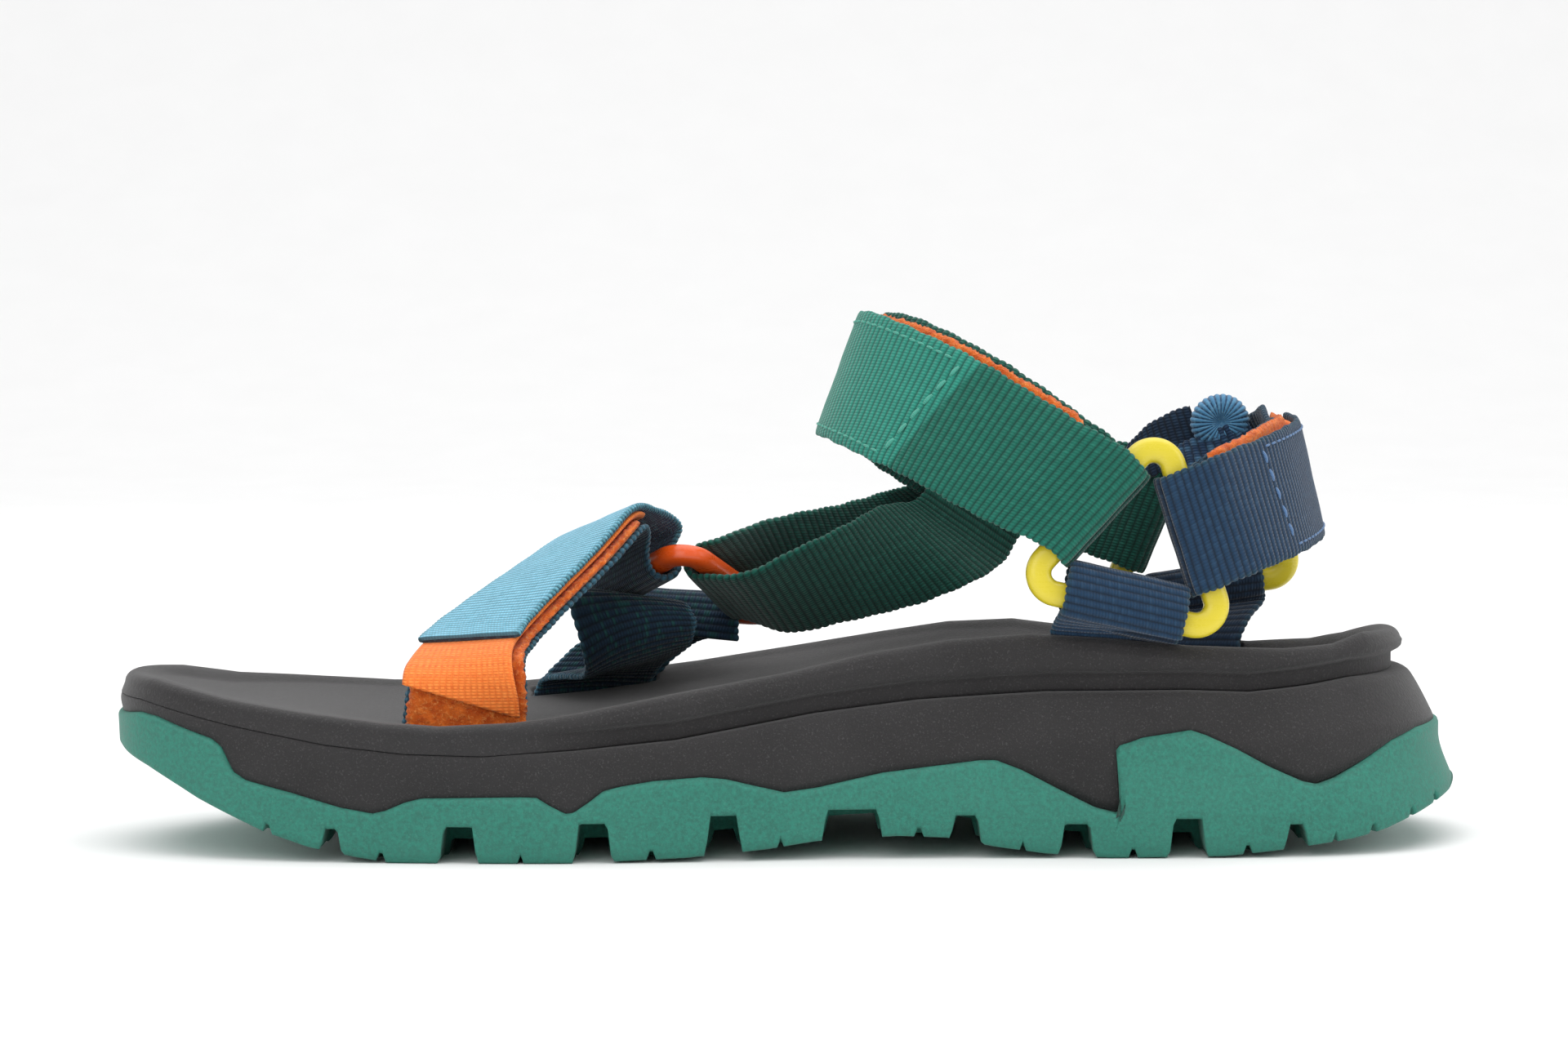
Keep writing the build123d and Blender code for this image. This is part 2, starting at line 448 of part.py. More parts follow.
with BuildPart() as toe_loop_patch:
    for section in strap_planes(toe_in, lift=LAYER_LOOP, first=0.12, last=0.68):
        with BuildSketch(section):
            Rectangle(PATCH_W, LOOP_T)
    loft(ruled=True)

with BuildPart() as toe_hook_patch:
    for section in strap_planes(toe_out, lift=LAYER_HOOK - LAYER_FLAP, first=0.0, last=0.82):
        with BuildSketch(section):
            Rectangle(PATCH_W, HOOK_T)
    loft(ruled=True)

with BuildPart() as forefoot_anchor_loop:
    for section in strap_planes(anchor_f_out):
        with BuildSketch(section):
            Rectangle(WEB_W, WEB_T)
    loft(ruled=True)

with BuildPart() as forefoot_anchor_fold:
    for section in strap_planes(anchor_f_in):
        with BuildSketch(section):
            Rectangle(WEB_W, WEB_T)
    loft(ruled=True)

with BuildPart() as instep_strap:
    for section in strap_planes(instep_all):
        with BuildSketch(section):
            Rectangle(WEB_W, WEB_T)
    loft(ruled=True)

with BuildPart() as ankle_strap_base:
    for section in strap_planes(ankle_in):
        with BuildSketch(section):
            Rectangle(WEB_W, WEB_T)
    loft(ruled=True)

with BuildPart() as ankle_loop_patch:
    for section in strap_planes(ankle_in, lift=LAYER_LOOP, first=0.2, last=0.6):
        with BuildSketch(section):
            Rectangle(PATCH_W, LOOP_T)
    loft(ruled=True)

with BuildPart() as ankle_strap_flap:
    for section in strap_planes(ankle_out):
        with BuildSketch(section):
            Rectangle(WEB_W, WEB_T)
    loft(ruled=True)

with BuildPart() as ankle_hook_patch:
    for section in strap_planes(ankle_out, lift=LAYER_HOOK - LAYER_FLAP, first=0.5, last=0.97):
        with BuildSketch(section):
            Rectangle(PATCH_W, HOOK_T)
    loft(ruled=True)

with BuildPart() as heel_strap_base:
    for section in strap_planes(heel_in):
        with BuildSketch(section):
            Rectangle(WEB_W, WEB_T)
    loft(ruled=True)

with BuildPart() as heel_loop_patch:
    for section in strap_planes(heel_in, lift=LAYER_LOOP, first=0.2, last=0.6):
        with BuildSketch(section):
            Rectangle(PATCH_W, LOOP_T)
    loft(ruled=True)

with BuildPart() as heel_strap_flap:
    for section in strap_planes(heel_out):
        with BuildSketch(section):
            Rectangle(WEB_W, WEB_T)
    loft(ruled=True)

with BuildPart() as heel_hook_patch:
    for section in strap_planes(heel_out, lift=LAYER_HOOK - LAYER_FLAP, first=0.5, last=0.96):
        with BuildSketch(section):
            Rectangle(PATCH_W, HOOK_T)
    loft(ruled=True)

with BuildPart() as ankle_anchor_medial:
    for section in strap_planes(anchor_m):
        with BuildSketch(section):
            Rectangle(WEB_W, WEB_T)
    loft(ruled=True)
    add(ankle_ring_medial.part, mode=Mode.SUBTRACT)

with BuildPart() as ankle_anchor_lateral:
    for section in strap_planes(anchor_l):
        with BuildSketch(section):
            Rectangle(WEB_W, WEB_T)
    loft(ruled=True)

# gathered webbing at the lateral end of the heel strap: a small fan-shaped fold beside the ring
with BuildPart() as heel_strap_gather:
    with BuildSketch(Plane(origin=(88.7, 29.2, 82.0), x_dir=(1, 0, 0), z_dir=(0, -1, 0))):
        Circle(6.0)
        with BuildLine():
            Polyline((-2.0, -4.0), (5.6, -1.0), (9.0, -7.6), (3.0, -11.0), close=True)
        make_face()
    extrude(amount=4.4)

# the slots, with room for the webbing that leaves them at a slant
with BuildPart() as footbed_cut:
    add(footbed.part)
    for tool in slot_tools + [forefoot_anchor_loop.part, forefoot_anchor_fold.part, ankle_anchor_lateral.part]:
        add(tool, mode=Mode.SUBTRACT)
with BuildPart() as midsole_cut:
    add(midsole.part)
    for tool in slot_tools + [forefoot_anchor_loop.part, forefoot_anchor_fold.part]:
        add(tool, mode=Mode.SUBTRACT)

# ------------------------------------------------------------------ output
outsole.part.label = "outsole"
export_step(outsole.part, "parts/outsole.step")
midsole_cut.part.label = "midsole"
export_step(midsole_cut.part, "parts/midsole.step")
shank.part.label = "shank"
export_step(shank.part, "parts/shank.step")
footbed_cut.part.label = "footbed"
export_step(footbed_cut.part, "parts/footbed.step")
toe_ring.part.label = "toe_ring"
export_step(toe_ring.part, "parts/toe_ring.step")
ankle_ring_medial.part.label = "ankle_ring_medial"
export_step(ankle_ring_medial.part, "parts/ankle_ring_medial.step")
ankle_ring_lateral.part.label = "ankle_ring_lateral"
export_step(ankle_ring_lateral.part, "parts/ankle_ring_lateral.step")
toe_strap_base.part.label = "toe_strap_base"
export_step(toe_strap_base.part, "parts/toe_strap_base.step")
toe_strap_flap.part.label = "toe_strap_flap"
export_step(toe_strap_flap.part, "parts/toe_strap_flap.step")
toe_loop_patch.part.label = "toe_loop_patch"
export_step(toe_loop_patch.part, "parts/toe_loop_patch.step")
toe_hook_patch.part.label = "toe_hook_patch"
export_step(toe_hook_patch.part, "parts/toe_hook_patch.step")
forefoot_anchor_loop.part.label = "forefoot_anchor_loop"
export_step(forefoot_anchor_loop.part, "parts/forefoot_anchor_loop.step")
forefoot_anchor_fold.part.label = "forefoot_anchor_fold"
export_step(forefoot_anchor_fold.part, "parts/forefoot_anchor_fold.step")
instep_strap.part.label = "instep_strap"
export_step(instep_strap.part, "parts/instep_strap.step")
ankle_strap_base.part.label = "ankle_strap_base"
export_step(ankle_strap_base.part, "parts/ankle_strap_base.step")
ankle_loop_patch.part.label = "ankle_loop_patch"
export_step(ankle_loop_patch.part, "parts/ankle_loop_patch.step")
ankle_strap_flap.part.label = "ankle_strap_flap"
export_step(ankle_strap_flap.part, "parts/ankle_strap_flap.step")
ankle_hook_patch.part.label = "ankle_hook_patch"
export_step(ankle_hook_patch.part, "parts/ankle_hook_patch.step")
heel_strap_base.part.label = "heel_strap_base"
export_step(heel_strap_base.part, "parts/heel_strap_base.step")
heel_loop_patch.part.label = "heel_loop_patch"
export_step(heel_loop_patch.part, "parts/heel_loop_patch.step")
heel_strap_flap.part.label = "heel_strap_flap"
export_step(heel_strap_flap.part, "parts/heel_strap_flap.step")
heel_hook_patch.part.label = "heel_hook_patch"
export_step(heel_hook_patch.part, "parts/heel_hook_patch.step")
heel_strap_gather.part.label = "heel_strap_gather"
export_step(heel_strap_gather.part, "parts/heel_strap_gather.step")
ankle_anchor_medial.part.label = "ankle_anchor_medial"
export_step(ankle_anchor_medial.part, "parts/ankle_anchor_medial.step")
ankle_anchor_lateral.part.label = "ankle_anchor_lateral"
export_step(ankle_anchor_lateral.part, "parts/ankle_anchor_lateral.step")
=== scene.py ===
import math

import bpy
import numpy as np
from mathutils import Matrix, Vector


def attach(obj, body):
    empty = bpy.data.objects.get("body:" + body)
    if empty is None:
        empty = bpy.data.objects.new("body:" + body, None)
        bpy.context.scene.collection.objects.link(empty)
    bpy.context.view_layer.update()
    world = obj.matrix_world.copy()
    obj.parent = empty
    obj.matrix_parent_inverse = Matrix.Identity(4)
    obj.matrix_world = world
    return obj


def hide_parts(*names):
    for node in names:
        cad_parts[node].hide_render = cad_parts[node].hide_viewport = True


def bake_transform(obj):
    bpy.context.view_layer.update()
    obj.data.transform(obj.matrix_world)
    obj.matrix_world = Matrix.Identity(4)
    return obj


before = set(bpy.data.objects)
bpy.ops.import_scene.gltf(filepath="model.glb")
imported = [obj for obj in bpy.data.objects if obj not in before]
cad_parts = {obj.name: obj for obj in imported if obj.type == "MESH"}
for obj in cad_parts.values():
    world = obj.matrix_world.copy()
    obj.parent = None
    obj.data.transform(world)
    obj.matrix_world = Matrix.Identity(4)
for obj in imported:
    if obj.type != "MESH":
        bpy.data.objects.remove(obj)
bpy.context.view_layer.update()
MM = 0.001
rng = np.random.default_rng(11)

# ------------------------------------------------------------------ dimensions shared with the CAD, millimetres
WEB_W, WEB_T, LOOP_T, HOOK_T, PEEL_GAP, PATCH_W = 24.5, 1.5, 1.4, 1.2, 0.35, 22.0
RING_SIDE, RING_R, RING_BAR, RING_T, WRAP_D, WRAP_N = 27.4, 6.5, 5.0, 4.0, 4.0, 3.5
LAYER_LOOP = WEB_T / 2 + LOOP_T / 2
LAYER_HOOK = WEB_T / 2 + LOOP_T + PEEL_GAP + HOOK_T / 2
LAYER_FLAP = WEB_T / 2 + LOOP_T + PEEL_GAP + HOOK_T + WEB_T / 2

# plan outlines (X, Y), counter-clockwise spline points
FOOTBED_OUTLINE = [(-133.2, -12), (-128, -29), (-115, -39), (-95, -44.5), (-70, -47), (-45, -47.0),
                   (-15, -43), (15, -37), (45, -34.5), (75, -34), (95, -31.5), (112, -24), (120.5, -11),
                   (122.5, 2), (119.5, 16), (109, 28.5), (92, 36), (70, 39), (45, 41), (15, 44),
                   (-15, 48), (-40, 49.8), (-65, 48), (-90, 41), (-110, 29), (-125, 11), (-132, -1)]
MIDSOLE_OUTLINE = [(-133.4, -12), (-128.5, -29.5), (-115, -40), (-95, -45.5), (-70, -48), (-45, -48.5),
                   (-15, -45), (15, -40.5), (45, -39), (75, -38.5), (97, -36.0), (116, -28.5), (126.5, -14),
                   (129.5, 2), (126.5, 18), (115, 32.0), (95, 40), (70, 43), (45, 44.5), (15, 46.5),
                   (-15, 49.5), (-40, 50.8), (-65, 49), (-90, 42), (-110, 30), (-125.5, 11), (-132.3, -1)]
OUTSOLE_OUTLINE = [(-133.8, -12), (-129, -30), (-115.5, -41), (-95, -46.5), (-70, -49), (-45, -49.5),
                   (-15, -46.5), (15, -42.5), (45, -41.5), (75, -41.5), (98, -39.5), (119, -31.5), (131, -16),
                   (134.4, 2), (131, 20), (118, 35.0), (97, 43), (70, 45.5), (45, 46.5), (15, 48),
                   (-15, 50.5), (-40, 51.8), (-65, 50), (-90, 43), (-110, 31), (-126, 11.5), (-132.8, -1)]

# side profile (X, Z): the wavy joint between the rubber outsole and the foam midsole
WAVE = [(-140, 26.2), (-133.0, 26.6), (-128.0, 27.5), (-124.5, 27.0), (-119.2, 25.2), (-112.9, 23.3), (-110.9, 21.8),
        (-108.6, 17.1), (-106.0, 15.5), (-96.9, 13.3), (-87.4, 10.6), (-81.1, 9.5), (-78.7, 10.0),
        (-74.7, 11.7), (-71.5, 12.5), (-52.5, 12.8), (-49.4, 12.7), (-47.0, 11.2), (-43.9, 9.6),
        (-42.3, 9.8), (-39.1, 12.0), (-36.7, 13.9), (-33.5, 14.7), (-27.2, 15.7), (-17.7, 16.3),
        (-13.0, 15.8), (-8.2, 14.6), (-1.9, 13.1), (4.4, 13.9), (17.1, 16.6), (36.1, 18.9),
        (39.2, 18.9), (44.0, 17.1), (51.9, 13.0), (58.3, 9.8), (61.8, 8.7), (62.9, 9.6), (63.0, 14.4),
        (63.1, 20.0), (64.2, 21.7), (67.7, 23.2), (77.2, 24.6), (80.4, 23.6), (86.7, 20.8),
        (93.0, 17.4), (99.6, 14.4), (102.6, 13.8), (106.6, 14.9), (113.4, 17.9), (120.5, 21.5),
        (127.0, 23.4), (140, 24.2)]
# side profile of the tread's underside, toe to heel
TREAD = [(-134.4, 22.5), (-133.6, 20.2), (-130.6, 18.8), (-126.2, 17.0), (-122.6, 15.2), (-119.1, 13.4),
         (-115.8, 11.6), (-110.9, 9.4), (-102.7, 5.8), (-93.5, 2.8), (-84.1, 1.0), (-77.8, 0.0), (-43, 0.0), (-20.9, 0.8),
         (-11.4, 1.6), (-5.1, 2.2), (4.4, 3.6), (20.2, 4.4), (29.7, 4.0), (39.2, 2.2), (48.7, 0.9),
         (61.3, 0.0), (83.5, 0.3), (92.9, 1.2), (102.9, 2.4), (109.4, 3.2), (116.1, 4.7), (123.3, 7.2),
         (131.9, 10.3), (134.8, 12.5)]
# side profile of the joint between the midsole and the footbed
DECK = [(-140, 30.4), (-128, 30.0), (-110, 26.2), (-90, 22.6), (-75, 21.0), (-60, 20.6), (-42, 21.6),
        (-23, 23.3), (4, 28.0), (24, 30.3), (49, 31.8), (77, 32.0), (91, 31.5), (105, 32.6), (116, 33.8),
        (140, 34.2)]
# footbed rim heights along the medial and the lateral edge, and the dish between them
RIM_MEDIAL = [(-136, 34.2), (-126.3, 34.0), (-110.8, 30.9), (-94.9, 28.6), (-79.1, 26.7), (-68.6, 26.0),
              (-53.9, 26.8), (-43, 28.4), (-22.1, 32.4), (-1.1, 36), (13.9, 39.4), (30, 41.9), (46.1, 43),
              (60, 42.2), (77.1, 40.6), (95.6, 39.8), (106.2, 40.4), (113.1, 42.4), (124, 42.4)]
RIM_LATERAL = [(-136, 34.2), (-126, 32.6), (-115.6, 30.1), (-98.4, 28.3), (-84.6, 27.0), (-60, 26.0),
               (-43, 27.4), (-20, 30.6), (0, 34.0), (18.8, 37.3), (32.6, 39.5), (46.3, 40.2), (60, 38.6),
               (80, 36.6), (95, 35.9), (108, 37.0), (115, 38.6), (124, 42.0)]
DISH = [(-136, 1.0), (-110, 1.8), (-70, 2.6), (-30, 3.2), (20, 4.2), (60, 5.6), (90, 6.2), (110, 5.6), (124, 4.2)]
HALF_WIDTH = [(-136, 20), (-115, 36), (-90, 43), (-45, 48.5), (0, 43), (45, 37.5), (90, 34), (112, 26), (124, 16)]

# side notches of the tread: X from, X to, ceiling Z
NOTCHES = [(-91.1, -87.0, 6.4), (-68.1, -60.9, 7.0), (-42.2, -35.0, 7.6), (-17.0, -10.1, 8.8),
           (5.5, 17.1, 9.6), (30.4, 36.4, 8.3), (51.6, 58.2, 6.6), (72.8, 80.0, 7.6), (95.4, 100.0, 6.3)]
NOTCH_IN = 13.0         # how far a side notch runs in from the outline
GROOVE_Z = 3.2          # ceiling of the shallow cross grooves above the tread

# sole slots: centre X, centre Y, turn about Z in degrees, length, width, floor Z
SLOT_TOE = (-64.2, -34.4, -5.0, 26.0, 3.6, 16.0)
SLOT_FOREFOOT = (-42.0, 37.0, 4.0, 26.0, 9.0, 17.0)
SLOT_ANKLE_MEDIAL = (62.0, -28.4, 0.0, 26.0, 8.4, 28.5)
SLOT_ANKLE_LATERAL = (81.0, 29.2, -6.0, 26.0, 8.4, 28.0)



def lookup(table, x):
    xs = [a for a, _ in table]
    ys = [b for _, b in table]
    return float(np.interp(x, xs, ys))


def unit(v):
    v = np.asarray(v, float)
    return v / np.linalg.norm(v)


def spline_rows(rows, pitch):
    """Natural cubic spline through rows of numbers, by chord length, resampled at about the pitch."""
    rows = np.asarray([list(r) for r in rows], float)
    n = len(rows)
    d = np.concatenate([[0], np.cumsum(np.maximum(1e-6, np.linalg.norm(np.diff(rows[:, :3], axis=0), axis=1)))])
    a = np.eye(n)
    rh = np.zeros_like(rows)
    for i in range(1, n - 1):
        h0, h1 = d[i] - d[i - 1], d[i + 1] - d[i]
        a[i, i - 1], a[i, i], a[i, i + 1] = h0, 2 * (h0 + h1), h1
        rh[i] = 6 * ((rows[i + 1] - rows[i]) / h1 - (rows[i] - rows[i - 1]) / h0)
    second = np.linalg.solve(a, rh)
    count = max(2, round(d[-1] / pitch))
    s = d[-1] * np.arange(count + 1) / count
    i = np.clip(np.searchsorted(d, s, side="left") - 1, 0, n - 2)
    h = (d[i + 1] - d[i])[:, None]
    a_, b_ = (d[i + 1] - s)[:, None] / h, (s - d[i])[:, None] / h
    return a_ * rows[i] + b_ * rows[i + 1] + ((a_ ** 3 - a_) * second[i] + (b_ ** 3 - b_) * second[i + 1]) * h * h / 6


def strap_frames(rows):
    """Rows of (x, y, z, wx, wy, wz) to (centre, width direction, path direction, face normal)."""
    rows = np.asarray(rows, float)
    pts = rows[:, :3]
    out = []
    for i, r in enumerate(rows):
        t = unit(pts[min(i + 1, len(pts) - 1)] - pts[max(i - 1, 0)])
        w = unit(r[3:6])
        t = unit(t - w * w.dot(t))
        out.append((pts[i], w, t, np.cross(w, t)))
    return out


def ring_frame(centre, normal, up):
    n = unit(normal)
    u = np.asarray(up, float)
    u = unit(u - n * u.dot(n))
    return np.asarray(centre, float), n, u, np.cross(u, n)


def ring_bar(ring, angle):
    c, n, u, v = ring
    a = math.radians(angle)
    d = u * math.sin(a) + v * math.cos(a)
    return c + d * (RING_SIDE / math.sqrt(3) / 2 + RING_R - RING_BAR / 2), d, unit(np.cross(n, d))


def wrap_rows(ring, angle, w_like, start=80, stop=280, step=25, side=1.0, rd=WRAP_D, rn=WRAP_N):
    m, d, b = ring_bar(ring, angle)
    n = ring[1] * side
    if b.dot(np.asarray(w_like, float)) < 0:
        b = b * -1
    rows = []
    count = round((stop - start) / step)
    for k in range(count + 1):
        a = math.radians(start + (stop - start) * k / count)
        p = m + d * (rd * math.cos(a)) + n * (rn * math.sin(a))
        rows.append([*p, *b])
    return rows


def inner_rows(frames, first, last, lift, slide=0.0):
    rows = []
    for i in range(round(first * (len(frames) - 1)), round(last * (len(frames) - 1)) + 1):
        f = i / (len(frames) - 1)
        c, w, t, n = frames[i]
        p = c + n * lift + w * (slide * math.sin(math.pi * f))
        rows.append([*p, *w])
    return rows


def flap_root(ring, angle, w_like):
    m, d, b = ring_bar(ring, angle)
    if b.dot(np.asarray(w_like, float)) < 0:
        b = b * -1
    p = m + ring[1] * WRAP_N + d * 0.8
    return [*p, *b]


RING_MEDIAL = ring_frame((66.6, -34.0, 59.5), (0.06, -1.0, 0.12), (0.225, 0.0, 0.974))
RING_LATERAL = ring_frame((85.0, 35.5, 58.5), (0.02, 1.0, 0.12), (-0.15, 0.0, 0.99))
RING_TOE = ring_frame((-22.7, 21.3, 47.5), (0.06, 0.42, 0.90), (0.03, -0.90, 0.42))

# toe strap: from the medial slot over the forefoot to the toe ring; +w is the rear edge.
# The first rows are the hook tape's tail, which runs on past the end of the webbing flap.
TOE_OUT_ROWS = [(-64.4, -38.8, 30.2, .99, -.12, .02), (-64.6, -38.2, 35.2, .96, -.26, .05), (-64.4, -34.0, 39.8, .90, -.42, .08),
                (-62.4, -25.8, 43.4, .84, -.52, .10), (-52.9, -15.8, 51.7, .75, -.62, .16),
                (-44.0, -6.2, 59.0, .67, -.68, .24), (-38.4, 1.2, 62.9, .60, -.74, .30),
                (-35.0, 8.4, 61.0, .56, -.77, .33)]
toe_root = flap_root(RING_TOE, 30, (0.54, -0.8, 0.33))
toe_out_rows = (TOE_OUT_ROWS + [toe_root])
toe_out = strap_frames(spline_rows(toe_out_rows, 3.0))
toe_wrap = wrap_rows(RING_TOE, 30, (0.54, -0.8, 0.33), start=90, stop=285, step=20)
toe_in_rows = ([(-64.2, -34.4, 16.5, 1, -.09, 0), (-64.2, -34.4, 19.0, 1, -.09, 0),
                                   (-64.2, -34.4, 22.0, 1, -.09, 0), (-64.2, -34.4, 26.0, 1, -.09, 0)]
                                  + inner_rows(toe_out, 0.0, 0.84, -LAYER_FLAP)
                                  + list(reversed(toe_wrap)))
toe_in = strap_frames(spline_rows(toe_in_rows, 3.0))

# lateral forefoot anchor: a slack doubled loop from its slot up to the toe ring
anchor_f_wrap = wrap_rows(RING_TOE, -90, (1, 0, -.1), start=0, stop=180, step=20)
anchor_f_out_rows = ([(-41.4, 40.0, 17.5, 1, .07, 0), (-41.4, 40.0, 20.0, 1, .07, 0), (-41.4, 40.0, 25.5, 1, .07, 0),
                                         (-37.0, 42.2, 31.5, 1, .04, 0), (-28.4, 41.6, 37.0, 1, 0, -.05)]
                                        + anchor_f_wrap + [(-23.3, 26.4, 40.6, 1, 0, -.1), (-23.3, 25.6, 37.6, 1, 0, -.1)])
anchor_f_out = strap_frames(spline_rows(anchor_f_out_rows, 3.0))
anchor_f_in_rows = ([(-42.6, 34.8, 17.5, 1, .07, 0), (-42.6, 34.8, 20.0, 1, .07, 0), (-42.6, 34.8, 25.4, 1, .07, 0),
                                        (-40.6, 32.0, 29.6, 1, .0, 0), (-36.0, 25.4, 32.6, .97, -.15, .15),
                                        (-32.8, 17.4, 36.0, .88, -.30, .35), (-33.2, 13.0, 41.0, .82, -.36, .42)])
anchor_f_in = strap_frames(spline_rows(anchor_f_in_rows, 3.0))

# ankle strap: medial ring, over the instep, lateral ring; +w is the upper edge
ankle_root = flap_root(RING_MEDIAL, 150, (.7, 0, .7))
ANKLE_FLAP_ROWS = [(51.2, -37.6, 71.6, .67, .05, .74), (43.8, -35.4, 75.2, .62, .1, .78),
                   (28.4, -29, 83.3, .5, .17, .84), (18.2, -20, 88.2, .42, .17, .89), (11.2, -9, 91.1, .37, .1, .93),
                   (9.0, 2, 91.7, .34, 0, .94), (11.5, 12, 90.6, .37, -.1, .93), (17.0, 20.5, 87.6, .42, -.12, .9)]
ankle_out_rows = ([ankle_root] + ANKLE_FLAP_ROWS)
ankle_out = strap_frames(spline_rows(ankle_out_rows, 3.4))
ankle_wrap_m = wrap_rows(RING_MEDIAL, 150, (.7, 0, .7), start=90, stop=285, step=20)
ankle_wrap_l = wrap_rows(RING_LATERAL, 30, (.37, 0, .93), start=80, stop=275, step=20)
ankle_in_rows = (ankle_wrap_m
                                    + inner_rows(ankle_out, 0.12, 1.0, -LAYER_FLAP, 2.6)
                                    + [(31.5, 27.6, 78.2, .55, -.08, .83),
                                       (44.4, 33.4, 71.6, .58, -.02, .81), (57.0, 37.6, 67.6, .48, 0, .88),
                                       (66.0, 39.2, 65.9, .39, 0, .92)]
                                    + ankle_wrap_l + [(66.0, 35.6, 65.2, .39, 0, .92), (60.0, 34.6, 66.6, .46, 0, .88)])
ankle_in = strap_frames(spline_rows(ankle_in_rows, 3.2))

# instep strap: one strip, both ends on the ankle strap, looped through the toe ring; +w is the upper edge
join = min(ankle_in, key=lambda f: np.linalg.norm(f[0] - np.array((42, 33, 72.5))))
instep_wrap = wrap_rows(RING_TOE, 150, (-.46, -.80, .34), start=-90, stop=-270, step=-20)


def join_row(lift, along):
    """A station of the instep strap where it lies across the ankle strap."""
    c, w, t, n = join
    p = c + n * lift + w * along
    return [*p, *(-t)]


instep_all_rows = ([join_row(-2.3, 9), join_row(-2.3, 1), join_row(-2.6, -7), join_row(-4.4, -14),
                                       (28.6, 21.5, 57.2, -.72, -.15, .68),
                                       (20.6, 15.6, 54.4, -.55, -.35, .76), (11.6, 10.8, 51.2, -.42, -.55, .72),
                                       (3.0, 8.6, 48.2, -.40, -.66, .64), (-5.0, 9.6, 45.6, -.42, -.74, .52)]
                                      + instep_wrap
                                      + [(-4.4, 23.4, 53.0, -.42, -.66, .62), (5.0, 29.5, 52.6, -.32, -.35, .88),
                                         (15.5, 33.5, 54.0, -.42, -.15, .89), (26.0, 36.2, 57.6, -.62, -.05, .78),
                                         join_row(4.6, -14), join_row(2.6, -7), join_row(2.3, 1), join_row(2.3, 8)])
instep_all = strap_frames(spline_rows(instep_all_rows, 3.2))

# heel strap: medial ring, round the heel, lateral ring; +w is the lower edge
heel_root = flap_root(RING_MEDIAL, 30, (.3, 0, -.95))
HEEL_FLAP_ROWS = [(83.9, -35.9, 65.6, .32, -.02, -.95), (89.8, -31.6, 67.8, .28, -.08, -.95),
                  (97.2, -22, 70.0, .25, -.1, -.96), (102.4, -8, 71.3, .24, -.05, -.97), (104.6, 5, 72.1, .22, 0, -.97),
                  (103.6, 16, 72.6, .22, .05, -.97)]
heel_out_rows = ([heel_root] + HEEL_FLAP_ROWS)
heel_out = strap_frames(spline_rows(heel_out_rows, 3.4))
heel_wrap_m = wrap_rows(RING_MEDIAL, 30, (.3, 0, -.95), start=90, stop=285, step=20)
heel_wrap_l = wrap_rows(RING_LATERAL, 150, (.62, 0, -.78), start=80, stop=275, step=20)
heel_in_rows = (heel_wrap_m
                                   + inner_rows(heel_out, 0.14, 0.96, -LAYER_FLAP, -1.6)
                                   + [(99.6, 19.0, 73.6, .24, .05, -.97), (101.4, 28.0, 73.9, .36, .02, -.93),
                                      (101.0, 35.6, 72.4, .52, 0, -.85)]
                                   + heel_wrap_l + [(99.0, 32.6, 68.8, .60, 0, -.80)])
heel_in = strap_frames(spline_rows(heel_in_rows, 3.2))

# ankle anchors: doubled webbing from a slot, round the ring's lower bar, back into the slot
anchor_m_rows = ([(62.0, -31.2, 29.0, 1, 0, 0), (62.0, -31.2, 33.0, 1, 0, 0), (62.0, -31.2, 37.5, 1, 0, -.02),
                                     (62.1, -31.4, 42.4, 1, 0, -.06), (63.0, -36.2, 44.9, 1, 0, -.14)]
                                    + wrap_rows(RING_MEDIAL, -90, (1, 0, -.2), start=40, stop=320, step=20)
                                    + [(62.8, -29.6, 42.4, 1, 0, -.12), (62.0, -25.6, 38.0, 1, 0, -.03),
                                       (62.0, -25.6, 33.0, 1, 0, 0), (62.0, -25.6, 29.0, 1, 0, 0)])
anchor_m = strap_frames(spline_rows(anchor_m_rows, 3.0))
anchor_l_rows = ([(81.2, 32.0, 28.5, .99, -.10, 0), (81.2, 32.0, 31.0, .99, -.10, 0), (81.6, 32.2, 36.0, .99, -.10, 0),
                                     (84.4, 37.2, 41.0, .99, -.04, .10)]
                                    + wrap_rows(RING_LATERAL, -90, (1, 0, .15), start=40, stop=320, step=20)
                                    + [(84.0, 30.6, 40.4, .99, -.04, .10), (81.0, 26.4, 35.4, .99, -.10, 0),
                                       (80.8, 26.4, 31.0, .99, -.10, 0), (80.8, 26.4, 28.5, .99, -.10, 0)])
anchor_l = strap_frames(spline_rows(anchor_l_rows, 3.0))


# ------------------------------------------------------------------ material helper
def lin(r, g, b):
    out = []
    for v in (r, g, b):
        v = v / 255
        out.append(v / 12.92 if v <= 0.04045 else ((v + 0.055) / 1.055) ** 2.4)
    return (*out, 1.0)


